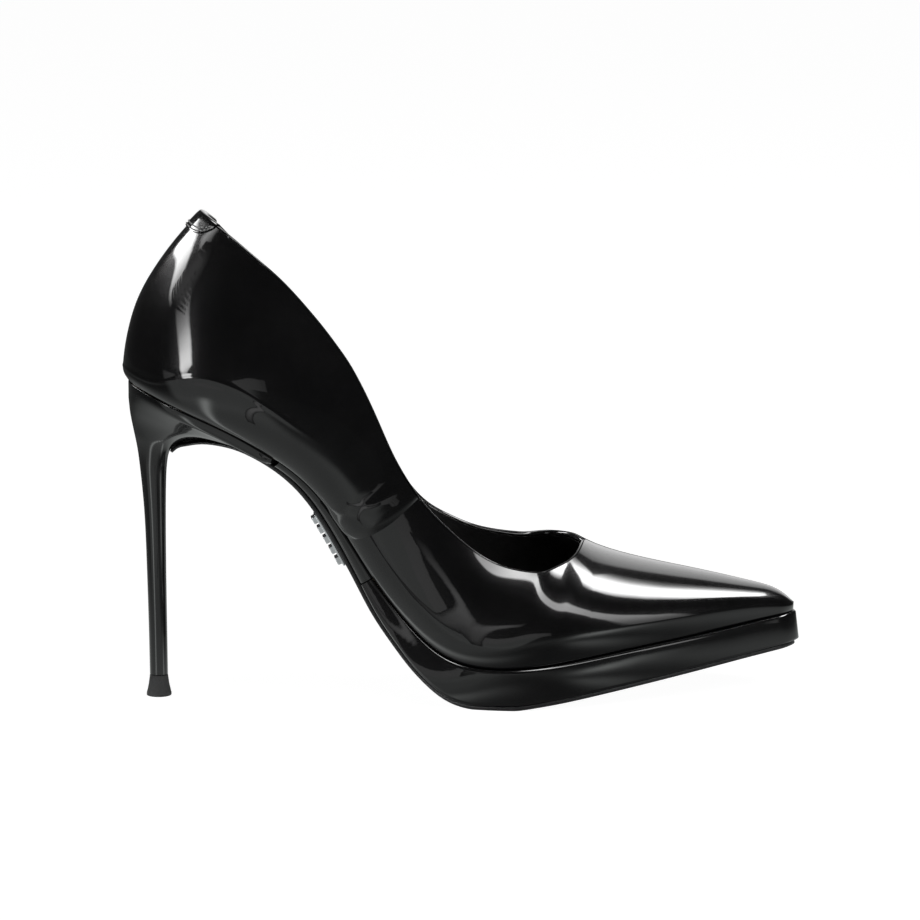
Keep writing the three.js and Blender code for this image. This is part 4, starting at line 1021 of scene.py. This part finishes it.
def bump(material, source, distance, after=None, out="Fac"):
    """relief of a texture, distance in millimetres, laid over another relief if given"""
    made = node(material, "ShaderNodeBump")
    made.inputs["Strength"].default_value = 1.0
    made.inputs["Distance"].default_value = distance * MM
    link(material, source, out, made, "Height")
    if after is not None:
        link(material, after, "Normal", made, "Normal")
    return made


def finish_surface(material, colors, rough, relief):
    shader = shader_of(material)
    link(material, colors, "Color", shader, "Base Color")
    link(material, rough, "Result", shader, "Roughness")
    link(material, relief, "Normal", shader, "Normal")
    return material


def patent_material(name, waviness=1.0):
    """black lacquered leather: a deep black base under a mirror clear coat"""
    material = new_material(
        name, (0.004, 0.004, 0.0045), 0.25, coat=1.0, specular=0.12, coat_rough=0.015,
    )
    shader_of(material).inputs["Coat IOR"].default_value = 1.5
    space = texture_space(material)
    broad = noise(material, space, 16.0, 1.0)
    skin = noise(material, space, 2.6, 2.0)
    pores = noise(material, space, 0.22, 2.0)
    colors = ramp(
        material, broad, (0.35, (0.0028, 0.0028, 0.0031)), (0.7, (0.0046, 0.0045, 0.0048)),
    )
    rough = to_range(material, skin, 0.16, 0.3)
    low = bump(material, broad, 0.07 * waviness)
    mid = bump(material, skin, 0.004 * waviness, low)
    link(material, mid, "Normal", shader_of(material), "Coat Normal")
    fine = bump(material, pores, 0.006, mid)
    return finish_surface(material, colors, rough, fine)


def leather_material(name, dark, light, roughness=0.5):
    """lining leather: rounded grain cells with fine pores"""
    material = new_material(name, light, roughness)
    space = texture_space(material)
    cells = node(material, "ShaderNodeTexVoronoi")
    cells.inputs["Scale"].default_value = 1.0 / GRAIN
    link(material, space, "Vector", cells, "Vector")
    tone = noise(material, space, 9.0, 3.0)
    pores = noise(material, space, 0.3, 2.0)
    colors = ramp(material, tone, (0.3, dark), (0.72, light))
    rough = to_range(material, tone, roughness - 0.08, roughness + 0.1)
    low = bump(material, cells, GRAIN_DEPTH, out="Distance")
    fine = bump(material, pores, GRAIN_DEPTH * 0.4, low)
    return finish_surface(material, colors, rough, fine)


def fibre_material(name, dark, light, roughness=0.8, size=1.2, depth=0.08):
    """board, cork, foam, rubber, plastic or thread: mottled with a fine surface"""
    material = new_material(name, light, roughness)
    specks = noise(material, texture_space(material), size, 5.0, 0.65)
    colors = ramp(material, specks, (0.35, dark), (0.65, light))
    rough = to_range(material, specks, roughness - 0.1, roughness + 0.1)
    return finish_surface(material, colors, rough, bump(material, specks, depth))


def metal_material(name, color, roughness, brush=(1, 1, 1)):
    """polished or drawn metal with fine rubbed lines"""
    material = new_material(name, color, roughness, metallic=1.0)
    lines = noise(material, texture_space(material, brush), 0.6, 4.0)
    colors = ramp(material, lines, (0.3, tuple(c * 0.86 for c in color)), (0.7, color))
    rough = to_range(material, lines, roughness * 0.7, roughness * 1.5)
    return finish_surface(material, colors, rough, bump(material, lines, 0.004))


patent = patent_material("patent_leather_black")
patent_heel = patent_material("patent_leather_heel", 0.5)
lining_leather = leather_material(
    "lining_leather_black", (0.008, 0.0075, 0.0075), (0.02, 0.019, 0.018),
)
sock_leather = leather_material(
    "sock_leather_black", (0.008, 0.0078, 0.0078), (0.022, 0.021, 0.02), 0.45,
)
rubber = fibre_material(
    "tip_rubber", (0.012, 0.012, 0.012), (0.026, 0.026, 0.027), 0.62, 0.5, 0.03,
)
sole_board = fibre_material(
    "outsole_leatherboard", (0.008, 0.008, 0.009), (0.018, 0.018, 0.019), 0.38, 0.7, 0.03,
)
# the stitches are black thread; their grey base colour is painted sheen, standing in for the light
# the thread catches
thread = fibre_material("stitch_thread_painted_sheen", (0.16, 0.16, 0.16), (0.4, 0.4, 0.4), 0.4, 0.3, 0.03)
plated = metal_material("ornament_metal", (0.62, 0.63, 0.65), 0.14)
steel = metal_material("spring_steel", (0.52, 0.53, 0.55), 0.3, (0.2, 1, 1))
stiffener = fibre_material("stiffener_board", (0.30, 0.22, 0.15), (0.46, 0.36, 0.25))
insole = fibre_material("insole_fibre", (0.36, 0.29, 0.20), (0.52, 0.43, 0.31), 0.85, 1.0)
cork = fibre_material("cork_filler", (0.20, 0.11, 0.05), (0.48, 0.31, 0.17), 0.85, 1.6, 0.15)
foam = fibre_material("latex_foam", (0.62, 0.55, 0.40), (0.78, 0.71, 0.55), 0.9, 0.5, 0.06)
plastic = fibre_material(
    "heel_plastic", (0.030, 0.030, 0.032), (0.05, 0.05, 0.052), 0.45, 3.0, 0.02,
)
core_plastic = fibre_material(
    "platform_core_plastic", (0.30, 0.27, 0.22), (0.38, 0.34, 0.28), 0.7,
)


def dress(obj, material, slot, *nodes):
    obj.data.materials.clear()
    obj.data.materials.append(material)
    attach(obj, "root")
    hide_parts(*nodes)


for obj, material, node_name in [
    (quarter_out, patent, "quarter_outer_side"),
    (quarter_in, patent, "quarter_inner_side"),
    (vamp, patent, "vamp"),
    (vamp_bead, patent_heel, "vamp_topline_binding"),
    (quarter_bead, patent_heel, "quarter_topline_binding"),
    (platform, patent, "platform_cover"),
    (waist, patent, "waist_cover"),
    (heel, patent_heel, "heel_cover"),
    (tab, patent_heel, "back_tab"),
]:
    dress(obj, material, "patent_leather", node_name)
dress(tab_stitches, thread, "patent_leather")
dress(lining_out, lining_leather, "lining_leather", "quarter_lining_outer_side")
dress(lining_in, lining_leather, "lining_leather", "quarter_lining_inner_side")
dress(vamp_lining, lining_leather, "lining_leather", "vamp_lining")
dress(sock, sock_leather, "lining_leather", "sock_lining")
dress(heel_pad, foam, "foam", "heel_pad")
dress(ball_pad, foam, "foam", "forefoot_pad")
dress(tip, rubber, "tip_rubber", "heel_tip")
dress(outsole, sole_board, "outsole_leatherboard", "outsole")
dress(ornament, plated, "ornament_metal", "sole_ornament")

# pieces inside the shoe, shown as their CAD solids
kept_nodes = {
    "heel_counter": stiffener,
    "toe_puff": stiffener,
    "forefoot_filler": cork,
    "platform_core": core_plastic,
    "heel_rod": steel,
    "heel_tip_pin": steel,
    "heel_screw": steel,
    **{f"heel_nail_{k}": steel for k in (1, 2, 3, 4)},
    "insole_board": insole,
    "steel_shank": steel,
    "heel_core": plastic,
}
for name, material in kept_nodes.items():
    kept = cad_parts[name]
    if not kept.material_slots:
        kept.data.materials.append(material)
    for slot in kept.material_slots:
        slot.material = material


# ---------- floor and backdrop ----------
def pale_material(name, value, glow):
    material = new_material(name, (value, value, value), 0.9, specular=0.0)
    shader = shader_of(material)
    shader.inputs["Emission Color"].default_value = (1, 1, 1, 1)
    shader.inputs["Emission Strength"].default_value = glow
    return material


def stage_object(name, points, faces, material):
    """part of the studio, from points in metres"""
    mesh = new_mesh(name, points, faces)
    mesh.shade_smooth()
    mesh.materials.append(material)
    obj = add_object(name, mesh)
    return obj


corners = [(-7, -7, 0), (7, -7, 0), (7, 9, 0), (-7, 9, 0)]
floor = stage_object("floor", corners, [(0, 1, 2, 3)], pale_material("pale_floor", 0.3, 0.97))
floor.visible_glossy = False

work = bmesh.new()
bmesh.ops.create_icosphere(work, subdivisions=5, radius=12.0)
dome_points = [v.co[:] for v in work.verts]
dome_faces = [tuple(v.index for v in reversed(f.verts)) for f in work.faces]
work.free()
backdrop = stage_object("backdrop", dome_points, dome_faces, pale_material("pale_backdrop", 0, 1))
backdrop.visible_glossy = False
backdrop.visible_diffuse = False
backdrop.visible_shadow = False


# ---------- what the lacquer mirrors: soft boxes, a soft bar and a painted reflection of the floor ---
CARD_AWAY = 6
CARD_STEPS = 60
CARD_ROWS = 12
BAR_ROWS = 7
BAR_FADE = 24
SHOE_MIDDLE = (0, 0, 0.08)
FLOOR_STEPS = 161
FLOOR_REACH = 2.5
HEEL_AT = -0.105


def glow_material(name, tint):
    """light whose brightness at each point is its mesh's glow"""
    material = new_material(name, (0, 0, 0), 1.0, specular=0.0)
    shader = shader_of(material)
    shader.inputs["Emission Color"].default_value = (*tint, 1)
    source = node(material, "ShaderNodeAttribute")
    source.attribute_name = "glow"
    link(material, source, "Fac", shader, "Emission Strength")
    return material


def glow_object(name, points, faces, glow, tint=(1, 1, 1)):
    """a glowing mesh that only shows in reflections"""
    obj = stage_object(name, points, faces, glow_material(name, tint))
    data = obj.data.attributes.new("glow", "FLOAT", "POINT")
    data.data.foreach_set("value", np.asarray(glow, float).ravel())
    obj.visible_camera = False
    obj.visible_diffuse = False
    obj.visible_shadow = False
    obj.visible_transmission = False


def light_card(name, rows, glow):
    """a card of long rows of CARD_STEPS points, with the glow of each"""
    points = np.stack(rows, 1).reshape(-1, 3)
    glow_object(name, points, grid_faces(CARD_STEPS, len(rows)), np.stack(glow, 1))


def eased(path):
    """each column of a path's rows, run smoothly through CARD_STEPS places"""
    t = np.arange(len(path))
    along = np.linspace(0, t[-1], CARD_STEPS)
    return [spline(list(zip(t, column)))(along) for column in zip(*path)]


def soft_box(name, path, softness=0.5):
    """long light box far off; path is (azimuth, elevation, brightness, half width), in degrees"""
    azimuth, elevation, bright, half = eased(path)
    away = direction(azimuth, elevation)
    sideways = unit(np.cross(away, np.gradient(away, axis=0)))
    rows = []
    glow = []
    for s in np.linspace(-1, 1, CARD_ROWS):
        turn = np.radians(half * s)[:, None]
        rows.append((away * np.cos(turn) + sideways * np.sin(turn)) * CARD_AWAY + SHOE_MIDDLE)
        glow.append(np.maximum(bright, 0) * (1 - smooth(1 - softness, 1, abs(s))))
    light_card(name, rows, glow)


def soft_bar(name, path, half, bright):
    """thin light bar near the shoe, through points in millimetres, facing it"""
    middle = np.stack(eased(path), 1)
    sideways = unit(np.cross(np.gradient(middle, axis=0), (0, 1, 0)))
    rows = []
    glow = []
    step = np.arange(CARD_STEPS)
    fade = np.minimum(1, np.minimum(CARD_STEPS - step, step) / BAR_FADE)
    for s in np.linspace(-1, 1, BAR_ROWS):
        rows.append(place(middle + sideways * half * s))
        glow.append(bright * (1 - smooth(0.4, 1, abs(s))) * fade)
    light_card(name, rows, glow)


soft_box("left_back_box", [
    (-139, 26, 9, 3), (-122, 31.5, 18, 3.2), (-105, 34.5, 18, 3.4), (-90, 33.7, 15, 3.4),
    (-81, 31.2, 9, 3.4), (-74, 28.5, 4, 3.4), (-68, 26, 0.5, 3),
], 0.35)
soft_box("left_back_edge", [
    (-92, 40, 0, 2), (-83, 39.5, 4, 2), (-73, 37.5, 2.2, 2), (-63, 34, 0.9, 2), (-55, 30, 0, 2),
])
soft_box("left_back_haze", [(-76, 33, 0, 5), (-68, 31, 0.5, 6), (-58, 29, 0.5, 6), (-50, 27, 0, 5)])
soft_box("left_front_box", [
    (-62, 28, 0, 4), (-56, 24, 1.6, 4.8), (-50, 19, 4.5, 5.2), (-46, 14, 11, 5.4),
    (-44, 9, 13, 5.4), (-43, 7, 0, 5.4),
], 0.3)
soft_box("overhead_box", [
    (-12, 79, 0, 4), (-5, 76, 12, 6), (4, 68, 14, 7), (13, 57, 11, 7), (24, 45, 7.5, 7),
    (35, 35, 6, 6), (43, 27, 5, 5.5), (47, 19, 4, 5), (49, 9, 2, 5), (51, -3, 0.9, 5),
    (54, -18, 0.3, 5),
], 0.4)
soft_box("right_back_box", [
    (80, 57, 0, 2.5), (87, 56, 8, 4), (95, 55, 18, 5.8), (106, 54.5, 19, 6.2), (117, 54, 19, 6.2),
    (125, 52.5, 14, 5.5), (132, 50, 6, 4.5), (139, 47.5, 1.5, 3.5), (146, 44, 0, 3),
], 0.25)
soft_box("back_panel", [
    (146, 13, 0.1, 21), (152, 14, 0.8, 21), (165, 14, 0.9, 21), (178, 14, 0.7, 21),
    (186, 14, 0, 21),
], 0.15)
soft_box("top_back_box", [
    (128, 72, 0, 6), (145, 70, 10, 7), (180, 67, 12, 7), (215, 70, 10, 7), (232, 72, 0, 6),
])
soft_bar("low_hoop", [
    (-12, -173, 72), (-26, -172, 68), (-40, -170, 68), (-55, -168, 64), (-68, -165, 50),
    (-77, -163, 28), (-80, -163, 8),
], 5.5, 1.1)
soft_box("front_panel", [
    (-64, 0, 0.1, 3.5), (-55, 0, 0.55, 3.5), (5, 0, 0.55, 3.5), (11, 0, 0, 3.5),
], 0.2)

# the floor as the lacquer shows it, in metres of the imported frame: a glowing card seen only in
# reflections, a painted reflection of the floor, which reflections pass through. It is pale near
# the shoe and out to the front left, with painted shade where the platform shades it, a small
# painted highlight patch there, and two painted highlight strips that fan out from the heel
steps = np.sinh(np.linspace(-4, 4, FLOOR_STEPS)) / math.sinh(4) * FLOOR_REACH
gx, gy = [q.reshape(-1) for q in np.meshgrid(steps, steps, indexing="ij")]
away = np.hypot(np.maximum(np.abs(gx) - 0.11, 0), gy)
shade = bell(((gx - 0.05) / 0.085) ** 2) * bell(((gy + 0.07) / 0.11) ** 2)
patch = bell((gx - 0.075) / 0.014) * bell((gy + 0.078) / 0.03)
heading = np.degrees(np.arctan2(gx + 0.06, -gy))
front = smooth(-66, -58, heading) * (1 - smooth(6, 12, heading)) * smooth(0.1, 0.3, away)
from_heel = np.degrees(np.arctan2(gx - HEEL_AT, -gy))
painted_highlight_strips = 2.4 * bell((from_heel + 28) / 5) + 2.2 * bell((from_heel - 57) / 6)
painted_highlight_strips = painted_highlight_strips * (1 - smooth(0.25, 0.5, np.hypot(gx - HEEL_AT, gy)))
# glow of the painted floor reflection: painted shade where the platform shades the floor, plus the
# painted highlight patch and strips
glow = 0.05 + 0.62 * bell(away / 0.2) * (1 - 0.96 * shade) + 0.5 * front + 0.75 * patch
glow = glow + painted_highlight_strips * (1 - shade)
glow_object(
    "painted_floor_reflection", point(gx, gy, -0.001), grid_faces(FLOOR_STEPS, FLOOR_STEPS), glow,
    (0.96, 1.0, 0.98),
)

world = bpy.data.worlds.new("dark_studio")
bpy.context.scene.world = world
world.use_nodes = True
background = world.node_tree.nodes["Background"]
background.inputs["Color"].default_value = (0.035, 0.035, 0.035, 1)
background.inputs["Strength"].default_value = 1.0


# ---------- studio light and camera ----------
def panel_light(name, where, size, energy):
    data = bpy.data.lights.new(name, "AREA")
    data.shape = "SQUARE"
    data.size = size
    data.energy = energy
    light = add_object(name, data)
    light.location = where
    from_shoe = Vector(where) - Vector(SHOE_MIDDLE)
    light.rotation_euler = from_shoe.to_track_quat("Z", "Y").to_euler()
    light.visible_camera = False
    light.visible_glossy = False


panel_light("top_panel", (0.4, -0.6, 2.2), 2.0, 9)
panel_light("left_panel", (-1.8, -1.2, 1.0), 1.0, 6)
panel_light("right_panel", (1.6, -0.9, 1.4), 1.0, 6)

CAMERA_AWAY = 1.4
camera_data = bpy.data.cameras.new("photo_view")
camera_data.lens = 160.3
camera_data.sensor_width = 36
camera = add_object("photo_view", camera_data)
away = Vector(direction(-5.0, 9.0))
target = Vector((-1.25 - SLIDE_X, -SLIDE_Y, 80)) * MM
camera.location = target + away * CAMERA_AWAY
camera.rotation_euler = away.to_track_quat("Z", "Y").to_euler()
camera_data.clip_start = 0.05
camera_data.clip_end = 50
bpy.context.scene.camera = camera
bpy.context.scene.view_settings.view_transform = "Standard"
